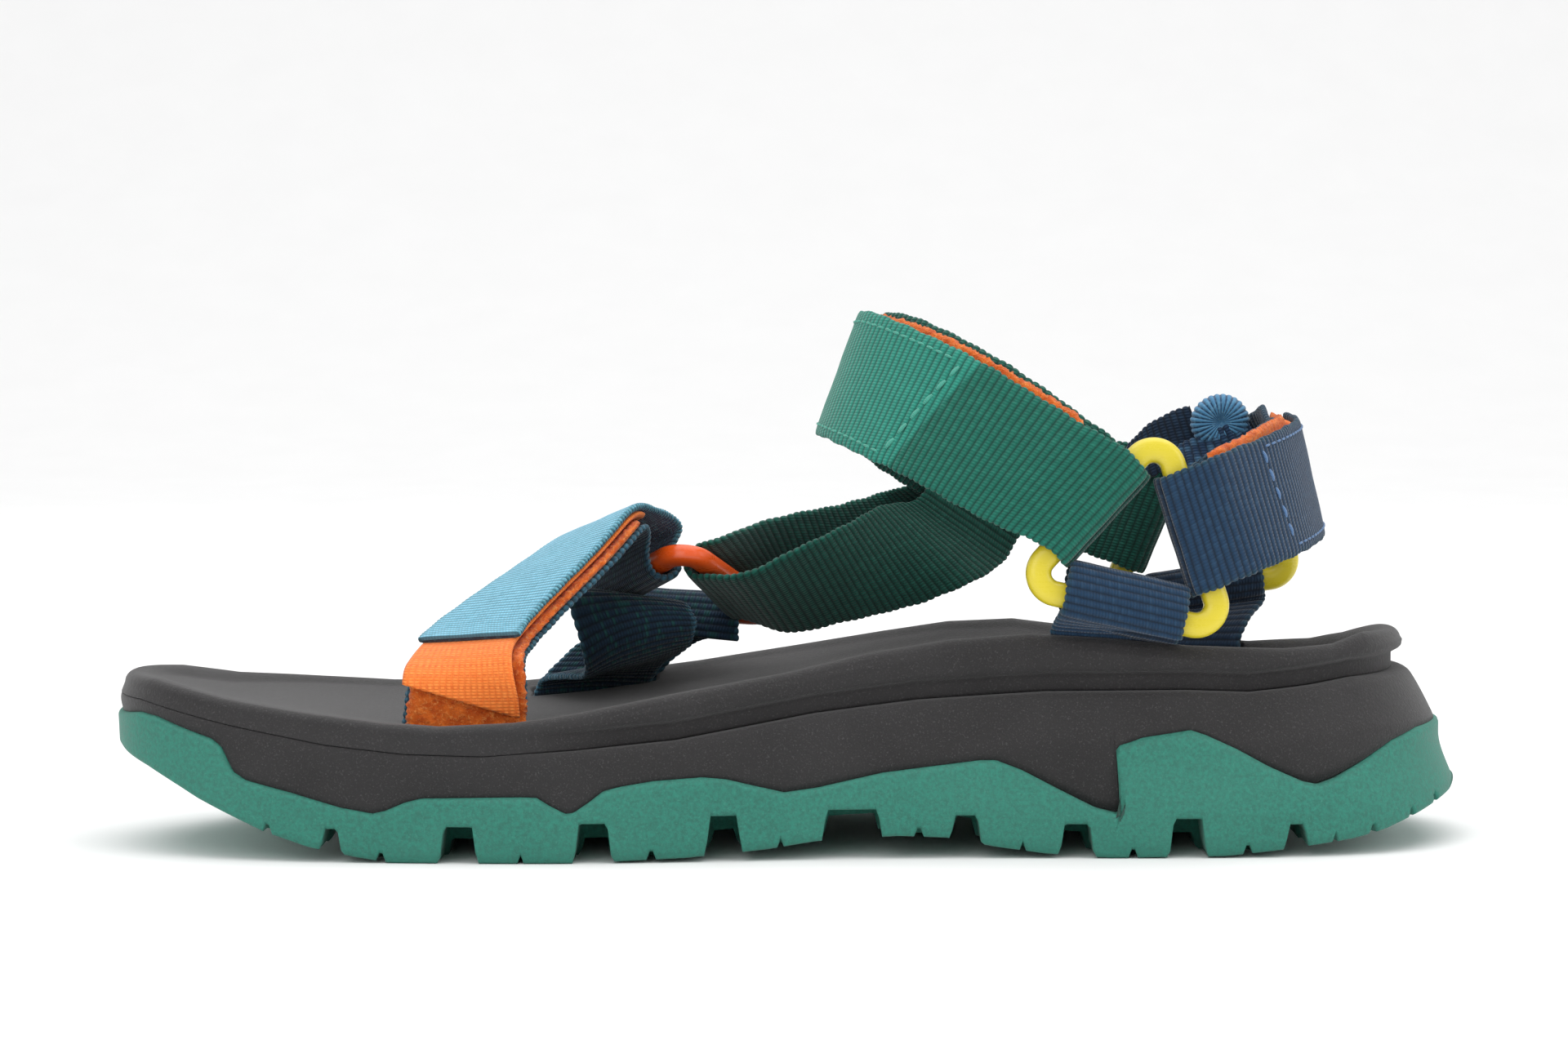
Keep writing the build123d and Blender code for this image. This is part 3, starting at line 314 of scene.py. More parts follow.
class Shade:
    def __init__(self, name, roughness=0.7, specular=0.4, sheen=0.0, coat=0.0):
        self.mat = bpy.data.materials.new(name)
        self.mat.use_nodes = True
        self.t = self.mat.node_tree
        self.t.nodes.clear()
        out = self.t.nodes.new("ShaderNodeOutputMaterial")
        self.b = self.t.nodes.new("ShaderNodeBsdfPrincipled")
        self.t.links.new(self.b.outputs[0], out.inputs[0])
        self.b.inputs["Roughness"].default_value = roughness
        self.b.inputs["Specular IOR Level"].default_value = specular
        self.b.inputs["Sheen Weight"].default_value = sheen
        self.b.inputs["Sheen Roughness"].default_value = 0.5
        self.b.inputs["Coat Weight"].default_value = coat
        self.b.inputs["Coat Roughness"].default_value = 0.2
        co = self.t.nodes.new("ShaderNodeTexCoord")
        self.obj = co.outputs["Object"]

    def put(self, sock, v):
        if isinstance(v, bpy.types.NodeSocket):
            self.t.links.new(v, sock)
        else:
            sock.default_value = v

    def m(self, op, a, b=None, c=None, clamp=False):
        n = self.t.nodes.new("ShaderNodeMath")
        n.operation = op
        n.use_clamp = clamp
        self.put(n.inputs[0], a)
        if b is not None:
            self.put(n.inputs[1], b)
        if c is not None:
            self.put(n.inputs[2], c)
        return n.outputs[0]

    def mix(self, f, a, b, mode="MIX"):
        n = self.t.nodes.new("ShaderNodeMix")
        n.data_type = "RGBA"
        n.blend_type = mode
        self.put(n.inputs[0], f)
        self.put(n.inputs[6], a)
        self.put(n.inputs[7], b)
        return n.outputs[2]

    def noise(self, scale, detail=3.0, rough=0.55, vec=None, dims="3D"):
        n = self.t.nodes.new("ShaderNodeTexNoise")
        self.put(n.inputs["Vector"], self.obj if vec is None else vec)
        n.inputs["Scale"].default_value = scale
        n.inputs["Detail"].default_value = detail
        n.inputs["Roughness"].default_value = rough
        return n.outputs[0]

    def cells(self, scale, vec=None, feature="F1"):
        n = self.t.nodes.new("ShaderNodeTexVoronoi")
        n.feature = feature
        self.put(n.inputs["Vector"], self.obj if vec is None else vec)
        n.inputs["Scale"].default_value = scale
        return n.outputs[0]

    def attr(self, name):
        n = self.t.nodes.new("ShaderNodeAttribute")
        n.attribute_name = name
        s = self.t.nodes.new("ShaderNodeSeparateXYZ")
        self.t.links.new(n.outputs["Vector"], s.inputs[0])
        return s.outputs[0], s.outputs[1], s.outputs[2]

    def xyz(self, vec=None):
        s = self.t.nodes.new("ShaderNodeSeparateXYZ")
        self.t.links.new(self.obj if vec is None else vec, s.inputs[0])
        return s.outputs[0], s.outputs[1], s.outputs[2]

    def vec(self, x, y, z):
        n = self.t.nodes.new("ShaderNodeCombineXYZ")
        for k, v in enumerate((x, y, z)):
            self.put(n.inputs[k], v)
        return n.outputs[0]

    def span(self, v, a, b, c=0.0, d=1.0):
        n = self.t.nodes.new("ShaderNodeMapRange")
        n.clamp = True
        self.put(n.inputs[0], v)
        for k, x in enumerate((a, b, c, d)):
            n.inputs[k + 1].default_value = x
        return n.outputs[0]

    def bump(self, h, strength=0.5, dist=0.0003):
        n = self.t.nodes.new("ShaderNodeBump")
        n.inputs["Strength"].default_value = strength
        n.inputs["Distance"].default_value = dist
        self.put(n.inputs["Height"], h)
        return n.outputs[0]

    def done(self, colour, rough=None, normal=None):
        self.put(self.b.inputs["Base Color"], colour)
        if rough is not None:
            self.put(self.b.inputs["Roughness"], rough)
        if normal is not None:
            self.put(self.b.inputs["Normal"], normal)
        return self.mat


def rib_weave(name, face, back, edge, speck, pitch=1.45, fine_from=None, fine_colour=None, speck_amount=0.25, thread=0.62):
    """Ribbed webbing: cross ribs with slanted threads over them, two-sided colour, mottled selvedge, and painted shade
    darkening the rib valleys and the gaps between threads.
    The attribute fabric holds millimetres across, millimetres along, and side."""
    s = Shade(name, roughness=0.82, specular=0.25, sheen=0.25)
    u, v, side = s.attr("fabric")
    ph = s.m("DIVIDE", v, pitch)
    fr = s.m("FRACT", ph)
    ridge = s.m("SINE", s.m("MULTIPLY", fr, math.pi))
    par = s.m("MULTIPLY", s.m("FLOOR", ph), 0.5)
    slant = s.m("MULTIPLY", fr, 0.35)
    tp = s.m("ADD", s.m("ADD", s.m("DIVIDE", u, thread), par), slant)
    thr = s.m("MULTIPLY_ADD", s.m("SINE", s.m("MULTIPLY", tp, 2 * math.pi)), 0.5, 0.5)
    uv3 = s.vec(u, v, side)
    blot = s.noise(0.35, 3.0, 0.6, uv3)
    grit = s.noise(2.6, 2.0, 0.6, uv3)
    cell = s.noise(1.1, 1.0, 0.5, s.vec(s.m("FLOOR", tp), s.m("MULTIPLY", s.m("FLOOR", ph), 3.7), side))
    is_face = s.m("GREATER_THAN", side, 0.0)
    base = s.mix(is_face, back, face)
    # threads of a second colour show here and there
    spk = s.m("MULTIPLY", s.span(cell, 0.52, 0.62), speck_amount)
    base = s.mix(spk, base, speck)
    au = s.m("ABSOLUTE", u)
    sel = s.span(au, WEB_W / 2 - 1.3, WEB_W / 2 - 0.5)
    selmix = s.m("MULTIPLY", sel, s.span(s.noise(0.9, 2.0, 0.6, uv3), 0.40, 0.60, 0.35, 1.0))
    base = s.mix(selmix, base, edge)
    if fine_from is not None:
        where = s.span(s.m("MULTIPLY_ADD", u, fine_from[1], v), fine_from[0] - 0.4, fine_from[0] + 0.4)
        where = s.m("MULTIPLY", where, is_face)
        base = s.mix(s.m("MULTIPLY", where, 0.85), base, fine_colour)
    # Painted shade: the rib valleys and the gaps between threads are darkened in the colour; blot and grit add random
    # tone.
    shade = s.m("MULTIPLY_ADD", s.m("POWER", ridge, 0.8), 0.80, 0.30)
    shade = s.m("MULTIPLY", shade, s.m("MULTIPLY_ADD", thr, 0.22, 0.86))
    shade = s.m("MULTIPLY", shade, s.m("MULTIPLY_ADD", blot, 0.36, 0.82))
    shade = s.m("MULTIPLY", shade, s.m("MULTIPLY_ADD", grit, 0.40, 0.80))
    grey = s.vec(shade, shade, shade)
    colour = s.mix(1.0, base, grey, "MULTIPLY")
    height = s.m("ADD", s.m("MULTIPLY", thr, s.m("MULTIPLY", ridge, 0.6)), s.m("MULTIPLY", grit, 0.5))
    return s.done(colour, normal=s.bump(height, 0.75, 0.00028))


def loop_tape(name, colour, dark, light):
    """Fuzzy loop pile."""
    s = Shade(name, roughness=0.95, specular=0.12, sheen=0.25)
    a = s.noise(1500, 4.0, 0.7)
    b = s.noise(420, 3.0, 0.65)
    c = s.mix(s.span(b, 0.35, 0.65), dark, colour)
    c = s.mix(s.m("MULTIPLY", s.span(a, 0.52, 0.68), 0.55), c, light)
    return s.done(c, normal=s.bump(s.m("ADD", a, b), 0.9, 0.0006))


def hook_tape(name, colour, dark, light):
    """Fine woven tape with rows of small hooks: a close grid."""
    s = Shade(name, roughness=0.7, specular=0.3, sheen=0.15)
    u, v, side = s.attr("fabric")
    gu = s.m("MULTIPLY_ADD", s.m("SINE", s.m("MULTIPLY", u, 2 * math.pi / 1.25)), 0.5, 0.5)
    gv = s.m("MULTIPLY_ADD", s.m("SINE", s.m("MULTIPLY", v, 2 * math.pi / 0.62)), 0.5, 0.5)
    grid = s.m("MULTIPLY", s.m("POWER", gu, 0.5), s.m("POWER", gv, 0.5))
    n = s.noise(1.3, 3.0, 0.6, s.vec(u, v, side))
    dash = s.m("MULTIPLY", s.m("LESS_THAN", s.m("FRACT", s.m("DIVIDE", v, 2.5)), 0.22),
               s.m("LESS_THAN", s.m("FRACT", s.m("ADD", s.m("DIVIDE", u, 1.25), s.m("MULTIPLY", s.m("FLOOR", s.m("DIVIDE", v, 2.5)), 0.5))), 0.5))
    c = s.mix(s.span(n, 0.3, 0.7), colour, light)
    # Painted shade: the gaps of the hook grid are darkened in the colour.
    c = s.mix(s.m("MULTIPLY", s.m("SUBTRACT", 1.0, grid), 0.45), c, dark)
    c = s.mix(s.m("MULTIPLY", dash, 0.35), c, dark)
    return s.done(c, normal=s.bump(grid, 0.6, 0.0002))


def foam(name, colour, light, dark):
    """Moulded foam: fine skin texture with pale specks."""
    s = Shade(name, roughness=0.72, specular=0.38, sheen=0.18)
    a = s.noise(2600, 3.0, 0.7)
    b = s.noise(1500, 4.0, 0.65)
    big = s.noise(60, 3.0, 0.5)
    c = s.mix(s.span(b, 0.38, 0.66), dark, colour)
    c = s.mix(s.m("MULTIPLY", s.span(a, 0.56, 0.70), 0.62), c, light)
    c = s.mix(s.m("MULTIPLY", s.span(big, 0.35, 0.7), 0.10), c, light)
    rough = s.span(b, 0.3, 0.7, 0.62, 0.86)
    h = s.m("ADD", s.m("MULTIPLY", a, 0.5), b)
    return s.done(c, rough, s.bump(h, 0.55, 0.00030))


def rubber(name, colour, light, dark):
    """Moulded outsole rubber: stippled, a little dusty in places, darker towards the ground."""
    s = Shade(name, roughness=0.62, specular=0.42, sheen=0.08)
    a = s.noise(2200, 3.0, 0.7)
    b = s.noise(1300, 4.0, 0.6)
    big = s.noise(35, 3.0, 0.5)
    x, y, z = s.xyz()
    c = s.mix(s.span(b, 0.36, 0.66), dark, colour)
    c = s.mix(s.m("MULTIPLY", s.span(a, 0.55, 0.72), 0.35), c, light)
    c = s.mix(s.m("MULTIPLY", s.span(big, 0.40, 0.72), 0.10), c, light)
    # Darker over the bottom 4.5 mm of the sole.
    low = s.span(z, 0.0, 0.0045, 1.0, 0.0)
    c = s.mix(s.m("MULTIPLY", low, s.span(b, 0.35, 0.6, 0.15, 0.45)), c, dark)
    rough = s.span(b, 0.3, 0.7, 0.52, 0.78)
    h = s.m("ADD", s.m("MULTIPLY", a, 0.6), b)
    return s.done(c, rough, s.bump(h, 0.5, 0.00025))


def moulded(name, colour, dark):
    """Glossy moulded plastic with faint flow marks and fine scratches."""
    s = Shade(name, roughness=0.30, specular=0.5, coat=0.25)
    x, y, z = s.xyz()
    flow = s.noise(90, 3.0, 0.5)
    fine = s.noise(1800, 2.0, 0.6)
    scr = s.noise(300, 4.0, 0.7, s.vec(s.m("MULTIPLY", x, 0.2), y, s.m("MULTIPLY", z, 3.0)))
    c = s.mix(s.span(flow, 0.3, 0.75, 0.0, 0.30), colour, dark)
    rough = s.m("ADD", s.span(scr, 0.45, 0.7, 0.24, 0.42), s.m("MULTIPLY", fine, 0.06))
    return s.done(c, rough, s.bump(s.m("ADD", s.m("MULTIPLY", fine, 0.3), scr), 0.12, 0.0001))


def thread_mat(name, colour):
    s = Shade(name, roughness=0.6, specular=0.35, sheen=0.3)
    x, y, z = s.xyz()
    tw = s.m("SINE", s.m("MULTIPLY", s.m("ADD", s.m("ADD", x, y), z), 2 * math.pi / 0.00045))
    n = s.noise(1500, 2.0, 0.6)
    # The twist grooves are darkened a little in the colour: painted shade.
    g = s.m("MULTIPLY_ADD", tw, 0.10, s.m("MULTIPLY_ADD", n, 0.3, 0.75))
    return s.done(s.mix(1.0, colour, s.vec(g, g, g), "MULTIPLY"), normal=s.bump(tw, 0.4, 0.0001))


TEAL, TEAL_L, TEAL_D = lin(44, 126, 109), lin(74, 150, 132), lin(34, 104, 90)
MAT_RUBBER = rubber("rubber_teal", TEAL, TEAL_L, TEAL_D)
MAT_FOAM = foam("foam_charcoal", lin(39, 37, 38), lin(78, 76, 77), lin(27, 26, 27))
GREEN, GREEN_D, GREEN_L = lin(12, 98, 82), lin(10, 62, 54), lin(46, 132, 112)
NAVY, NAVY_D, BLUE_L = lin(20, 52, 80), lin(14, 34, 52), lin(62, 100, 132)
SKY, SKY_L = lin(126, 190, 214), lin(170, 215, 230)
# The green and plain navy webbing get back colours darker than their faces: painted shade on the straps' inner faces.
MAT_GREEN = rib_weave("webbing_green", GREEN, lin(8, 68, 58), lin(18, 104, 88), GREEN_L, fine_from=(41.0, 0.26), fine_colour=lin(38, 138, 120), speck_amount=0.18)
# A darker copy of the green webbing: painted shade for the instep strap and the ankle strap's base, whose faces turn
# down.
MAT_GREEN_SHADED = rib_weave("webbing_green_shaded", lin(8, 74, 62), lin(6, 62, 54), lin(14, 92, 78), lin(36, 116, 98), speck_amount=0.2)
MAT_NAVY = rib_weave("webbing_navy", NAVY, lin(16, 38, 60), lin(26, 62, 80), BLUE_L, speck_amount=0.12)
MAT_NAVY_GREEN = rib_weave("webbing_navy_mottled", lin(18, 44, 64), lin(18, 44, 66), lin(58, 104, 124), lin(24, 92, 80), speck_amount=0.42)
MAT_SKY = rib_weave("webbing_sky", SKY, lin(30, 62, 96), lin(74, 132, 146), lin(96, 168, 190), pitch=0.95, speck_amount=0.35, thread=0.7)
MAT_LOOP = loop_tape("loop_orange", lin(236, 118, 40), lin(198, 80, 18), lin(255, 180, 100))
MAT_HOOK = hook_tape("hook_orange", lin(246, 124, 42), lin(205, 78, 20), lin(255, 150, 66))
MAT_ORANGE = moulded("ring_orange", lin(240, 92, 26), lin(205, 66, 14))
MAT_YELLOW = moulded("ring_yellow", lin(222, 204, 48), lin(200, 176, 34))
MAT_THREAD_TEAL = thread_mat("thread_teal", lin(70, 165, 145))
MAT_THREAD_BLUE = thread_mat("thread_blue", lin(84, 122, 168))
MAT_THREAD_WHITE = thread_mat("thread_white", lin(205, 215, 212))
MAT_SHANK = moulded("shank_nylon", lin(40, 40, 42), lin(25, 25, 27))

# ------------------------------------------------------------------ mesh helpers
def make(name, verts, faces, mats, body, replaces=(), fabric=None, face_mat=None, smooth=True):
    me = bpy.data.meshes.new(name)
    me.from_pydata((np.asarray(verts, float) * MM).tolist(), [], [list(map(int, f)) for f in faces])
    me.update()
    for m in mats if isinstance(mats, (list, tuple)) else [mats]:
        me.materials.append(m)
    if fabric is not None:
        at = me.attributes.new("fabric", "FLOAT_VECTOR", "POINT")
        at.data.foreach_set("vector", np.asarray(fabric, np.float32).ravel())
    if face_mat is not None:
        me.polygons.foreach_set("material_index", np.asarray(face_mat, np.int32))
    if smooth:
        me.polygons.foreach_set("use_smooth", np.ones(len(me.polygons), bool))
    ob = bpy.data.objects.new(name, me)
    bpy.context.scene.collection.objects.link(ob)
    if isinstance(body, str):
        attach(ob, body)
    if replaces:
        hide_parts(*replaces)
    if not isinstance(body, str):
        bpy.context.view_layer.update()
        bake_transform(ob)
    return ob


def tube_faces(rings, n):
    i = np.arange(rings - 1)[:, None] * n
    j = np.arange(n)[None, :]
    k = (j + 1) % n
    f = np.stack([i + j, i + n + j, i + n + k, i + k], axis=-1).reshape(-1, 4)
    faces = f.tolist()
    faces.append(list(range(n)))
    faces.append(list(range((rings - 1) * n, rings * n))[::-1])
    return faces


def fine_frames(rows, pitch):
    """Smooth stations at exactly the given pitch count, as arrays (c, w, t, n)."""
    f = strap_frames(spline_rows(rows, pitch))
    return [np.array([x[k] for x in f]) for k in range(4)]


def part_of(fr, first, last):
    n = len(fr[0]) - 1
    i0, i1 = round(first * n), round(last * n)
    return [a[i0:i1 + 1] for a in fr]


def webbing(name, fr, body, mat, nodes=(), width=24.3, thick=1.5, rib=1.45, per=5, amp=0.17, wobble=0.10,
            seed=1, taper=None, skew0=0.0, skew1=0.0, cup=0.0, arch=0.0, fine=None):
    """A length of ribbed webbing on stations spaced rib/per apart, with rounded scalloped selvedges."""
    c, w, t, n = fr
    r = np.random.default_rng(seed)
    m = len(c)
    k = np.arange(m)
    ridge = np.abs(np.sin(np.pi * (k % per) / per)) ** 0.7
    ph1, ph2, ph3 = r.uniform(0, 6.28, 3)
    s = k * rib / per
    if fine is not None:
        ff = np.linspace(0, 1, m)
        calm = np.clip((ff - fine[0]) / 0.02, 0, 1) * np.clip((fine[1] + 0.02 - ff) / 0.02, 0, 1)
        ridge = ridge + (1 - ridge) * 0.62 * calm
    h = thick / 2 - amp * (1 - ridge)
    us = np.array([1, .985, .94, .86, .70, .5, .25, 0, -.25, -.5, -.70, -.86, -.94, -.985, -1,
                   -1, -.985, -.94, -.86, -.70, -.5, -.25, 0, .25, .5, .70, .86, .94, .985, 1])
    hs = np.array([.28, .66, .90, 1, 1, 1, 1, 1, 1, 1, 1, 1, .90, .66, .28,
                   -.28, -.66, -.90, -1, -1, -1, -1, -1, -1, -1, -1, -1, -.90, -.66, -.28])
    half = width / 2 - 0.30 * (1 - ridge) + 0.10 * np.sin(s * 0.9 + ph1)
    if taper is not None:
        half = half * taper(np.linspace(0, 1, m))
    drift = wobble * np.sin(s * 0.21 + ph2) + 0.5 * wobble * np.sin(s * 0.57 + ph3)
    uu = us[None, :] * half[:, None]
    low = cup * (us[None, :] ** 2 - 0.4) + 0.06 * np.sin(uu * 0.55 + ph1 + s[:, None] * 0.13) * (1 - us[None, :] ** 2)
    hh = hs[None, :] * h[:, None] + low
    bow = np.zeros_like(uu)
    f = np.linspace(0, 1, m)[:, None]
    bow = (skew0 * np.clip(1 - f * 6, 0, 1) + skew1 * np.clip(1 - (1 - f) * 6, 0, 1)) * us[None, :]
    bow = bow + arch * np.sin(np.pi * f) ** 1.5 * (1 - us[None, :] ** 2)
    v = c[:, None, :] + w[:, None, :] * (uu + drift[:, None])[..., None] + n[:, None, :] * hh[..., None] + t[:, None, :] * bow[..., None]
    fab = np.stack([uu, np.repeat(s[:, None], len(us), 1), np.repeat(np.sign(hs)[None, :], m, 0)], axis=-1)
    return make(name, v.reshape(-1, 3), tube_faces(m, len(us)), mat, body, nodes, fab.reshape(-1, 3))


def pad(name, fr, body, mat, nodes=(), width=22.0, thick=1.4, fuzz=0.0, pitch=0.5, seed=2, skew=(0.0, 0.0), round_ends=(0.0, 0.0)):
    """Loop or hook tape: a flat strip with rounded edges; fuzz roughens its outer face; skew slants its ends."""
    c, w, t, n = fr
    r = np.random.default_rng(seed)
    m = len(c)
    nu = 34
    top = np.linspace(1, -1, nu)
    us = np.concatenate([top, top[::-1]])
    edge = np.clip((1 - np.abs(us)) * width / 2 / 0.35, 0, 1)
    hs = np.concatenate([np.ones(nu), -np.ones(nu)]) * (0.35 + 0.65 * np.sqrt(1 - (1 - edge) ** 2))
    s = np.arange(m) * pitch
    total = s[-1]
    half = np.full(m, width / 2)
    for k, rr in enumerate(round_ends):
        if rr > 0:
            d = s if k == 0 else total - s
            half = np.where(d < rr, width / 2 - rr + np.sqrt(np.maximum(rr * rr - (rr - d) ** 2, 0.0)), half)
    uu = us[None, :] * half[:, None]
    hh = hs[None, :] * thick / 2 * np.ones((m, 1))
    if fuzz > 0:
        out = (hs > 0)[None, :]
        hh = hh + out * (r.uniform(-1, 0.1, hh.shape) * fuzz)
        uu = uu + (np.abs(us) > 0.97)[None, :] * r.uniform(-1, 1, uu.shape) * fuzz * 0.9
    f = np.linspace(0, 1, m)[:, None]
    push = (skew[0] * np.clip(1 - f * 2.2, 0, 1) + skew[1] * np.clip(1 - (1 - f) * 2.2, 0, 1)) * us[None, :]
    v = c[:, None, :] + w[:, None, :] * uu[..., None] + n[:, None, :] * hh[..., None] + t[:, None, :] * push[..., None]
    fab = np.stack([uu, np.repeat(s[:, None], len(us), 1) + push, np.repeat(np.sign(hs)[None, :], m, 0)], axis=-1)
    return make(name, v.reshape(-1, 3), tube_faces(m, len(us)), mat, body, nodes, fab.reshape(-1, 3))


def lifted(fr, lift, slide=0.0):
    c, w, t, n = fr
    return [c + n * lift + w * slide, w, t, n]


def ring(name, rf, node, mat, slot):
    """A rounded triangular ring with a softly crowned bar."""
    c, n, u, v = rf
    rc = RING_R - RING_BAR / 2
    path = []
    for a in (90, 210, 330):
        cc = RING_SIDE / math.sqrt(3) * np.array((math.cos(math.radians(a)), math.sin(math.radians(a))))
        for b in np.linspace(a - 60, a + 60, 25):
            d = np.array((math.cos(math.radians(b)), math.sin(math.radians(b))))
            path.append((cc + d * rc, d))
    # put points on the straight bars too
    full = []
    for i, (p, d) in enumerate(path):
        full.append((p, d))
        q, e = path[(i + 1) % len(path)]
        if np.linalg.norm(q - p) > 3:
            for k in range(1, 12):
                full.append((p + (q - p) * k / 12, d))
    ns = 28
    verts = []
    for p, d in full:
        for k in range(ns):
            a = 2 * math.pi * k / ns
            ca, sa = math.cos(a), math.sin(a)
            x = RING_BAR / 2 * math.copysign(abs(ca) ** 0.72, ca)
            z = RING_T / 2 * math.copysign(abs(sa) ** 0.72, sa)
            q = p + d * x
            verts.append(c + v * q[0] + u * q[1] + n * z)
    m = len(full)
    faces = []
    for i in range(m):
        for j in range(ns):
            a, b = i * ns, ((i + 1) % m) * ns
            faces.append([a + j, a + (j + 1) % ns, b + (j + 1) % ns, b + j])
    ob = make(name, verts, faces, mat, "sandal", (node,))
    return ob


def stitch_row(name, fr, pts, body, mat, length=2.0, gap=1.1, r=0.24, lift=0.78):
    """Thread dashes along a line on a strap; pts are (fraction along, millimetres across)."""
    c, w, t, n = fr
    m = len(c) - 1
    step = float(np.linalg.norm(c[1] - c[0]))
    line = []
    for (f0, u0), (f1, u1) in zip(pts, pts[1:]):
        d = math.hypot((f1 - f0) * m * step, u1 - u0)
        k = max(1, int(d / 0.25))
        for i in range(k):
            line.append((f0 + (f1 - f0) * i / k, u0 + (u1 - u0) * i / k))
    line.append(pts[-1])

    def pos(f, u, up):
        x = min(max(f * m, 0), m - 1e-6)
        i = int(x)
        a = x - i
        cc, ww, nn = c[i] * (1 - a) + c[i + 1] * a, w[i] * (1 - a) + w[i + 1] * a, n[i] * (1 - a) + n[i + 1] * a
        return cc + ww * u + nn * up

    P = np.array([pos(f, u, lift) for f, u in line])
    L = np.concatenate([[0], np.cumsum(np.linalg.norm(np.diff(P, axis=0), axis=1))])
    N = np.array([unit(pos(f, u, lift + 1) - pos(f, u, lift)) for f, u in line])
    verts, faces = [], []
    s = 0.3
    while s + length < L[-1]:
        q = []
        for k in range(7):
            x = s + length * k / 6
            q.append([np.interp(x, L, P[:, a]) for a in range(3)])
        q = np.array(q)
        nn = np.array([np.interp(s + length / 2, L, N[:, a]) for a in range(3)])
        base = len(verts)
        for k in range(7):
            f = k / 6
            tt = unit(q[min(k + 1, 6)] - q[max(k - 1, 0)])
            side = unit(np.cross(nn, tt))
            rr = r * (math.sin(math.pi * min(max(f, 0.06), 0.94)) ** 0.35)
            cen = q[k] + nn * (0.16 * math.sin(math.pi * f) - 0.12)
            for a in range(8):
                an = 2 * math.pi * a / 8
                verts.append(cen + side * (rr * math.cos(an)) + nn * (rr * 0.8 * math.sin(an)))
        for k in range(6):
            for a in range(8):
                b = (a + 1) % 8
                faces.append([base + k * 8 + a, base + k * 8 + b, base + k * 8 + 8 + b, base + k * 8 + 8 + a])
        faces.append([base + a for a in range(8)][::-1])
        faces.append([base + 48 + a for a in range(8)])
        s += length + gap
    if verts:
        return make(name, verts, faces, mat, body)

# ------------------------------------------------------------------ rings
ring("ring_toe", RING_TOE, "toe_ring", MAT_ORANGE, "ring_orange")
ring("ring_ankle_medial", RING_MEDIAL, "ankle_ring_medial", MAT_YELLOW, "ring_yellow")
ring("ring_ankle_lateral", RING_LATERAL, "ankle_ring_lateral", MAT_YELLOW, "ring_yellow")

# ------------------------------------------------------------------ webbing
FINE = 1.45 / 5


def sub(rows, first, last, coarse, pitch):
    """Fine stations over the same stretch of a route that the CAD took from its own stations."""
    fr = fine_frames(rows, pitch)
    n = len(coarse) - 1
    return part_of(fr, round(first * n) / n, round(last * n) / n)


# toe strap
toe_base = fine_frames(toe_in_rows[:-3], FINE)
webbing("toe_webbing_base", toe_base, "sandal", MAT_NAVY_GREEN, ("toe_strap_base",), seed=3)
toe_full = TOE_OUT_ROWS[:-1] + [(-34.6, 8.6, 61.6, .56, -.77, .33), (-31.4, 14.4, 60.0, .55, -.78, .33),
                                (-29.4, 18.4, 56.6, .54, -.79, .33)] + [list(r) for r in toe_wrap[2:5]]
toe_long = fine_frames(toe_full, 0.95 / 5)
toe_cut = float(np.linalg.norm(np.diff(fine_frames(toe_out_rows, 0.2)[0], axis=0), axis=1).sum() * 0.2)
toe_flap = [a[round(toe_cut / (0.95 / 5)):] for a in toe_long]
webbing("toe_webbing_flap", toe_flap, ("toe_flap", toe_wrap[0][:3], toe_out[-3][0]), MAT_SKY, ("toe_strap_flap",), rib=0.95, amp=0.10, seed=4)
pad("toe_tape_loop", lifted(sub(toe_in_rows, 0.075, 0.70, toe_in, 0.5), LAYER_LOOP + 0.05, 0.5), "sandal", MAT_LOOP, ("toe_loop_patch",),
    thick=LOOP_T + 0.1, fuzz=0.45, seed=5, width=23.4, round_ends=(0.0, 3.0))
pad("toe_tape_hook", lifted(sub(toe_out_rows, 0.0, 0.80, toe_out, 0.5), LAYER_HOOK - LAYER_FLAP, -0.4), "toe_flap", MAT_HOOK, ("toe_hook_patch",),
    thick=HOOK_T, seed=6, width=23.0, skew=(-3.4, 0.0))

# forefoot anchor
webbing("forefoot_webbing_outer", fine_frames(anchor_f_out_rows, FINE), "sandal", MAT_NAVY_GREEN, ("forefoot_anchor_loop",), seed=7)
fold_rows = [(-42.6, 34.8, 17.5, 1, .07, 0), (-42.6, 34.6, 21.0, 1, .07, 0), (-42.0, 32.5, 26.5, 1, .02, .02),
             (-38.5, 26.0, 30.5, .97, -.10, .15), (-34.5, 17.0, 32.6, .95, -.15, .25), (-31.8, 9.8, 34.8, .92, -.15, .32),
             (-31.4, 6.0, 38.6, .93, -.05, .28), (-32.6, 5.6, 43.0, .95, 0, .12), (-33.8, 8.4, 46.6, .96, .05, -.10),
             (-33.6, 12.6, 46.2, .95, .1, -.2), (-33.0, 17.0, 43.4, .95, .1, -.2)]
webbing("forefoot_webbing_inner", fine_frames(fold_rows, FINE), "sandal", MAT_NAVY_GREEN, ("forefoot_anchor_fold",), seed=8, arch=3.4)

# instep strap
instep_fr = [np.array(a) for a in fine_frames(instep_all_rows, FINE)]
near = np.exp(-(np.linalg.norm(instep_fr[0] - ring_bar(RING_TOE, 150)[0], axis=1) / 13.0) ** 2)[:, None]
tilt = np.sign(instep_fr[1][:, 2:3]) * near
instep_fr[0] = instep_fr[0] + np.array((-2.4, 0.0, 0.4)) * near
instep_fr[1] = instep_fr[1] + np.array((0.17, 0.0, 0.0)) * tilt
instep_fr[1] = instep_fr[1] / np.linalg.norm(instep_fr[1], axis=1, keepdims=True)
webbing("instep_webbing", instep_fr, "sandal", MAT_GREEN_SHADED, ("instep_strap",), seed=9)

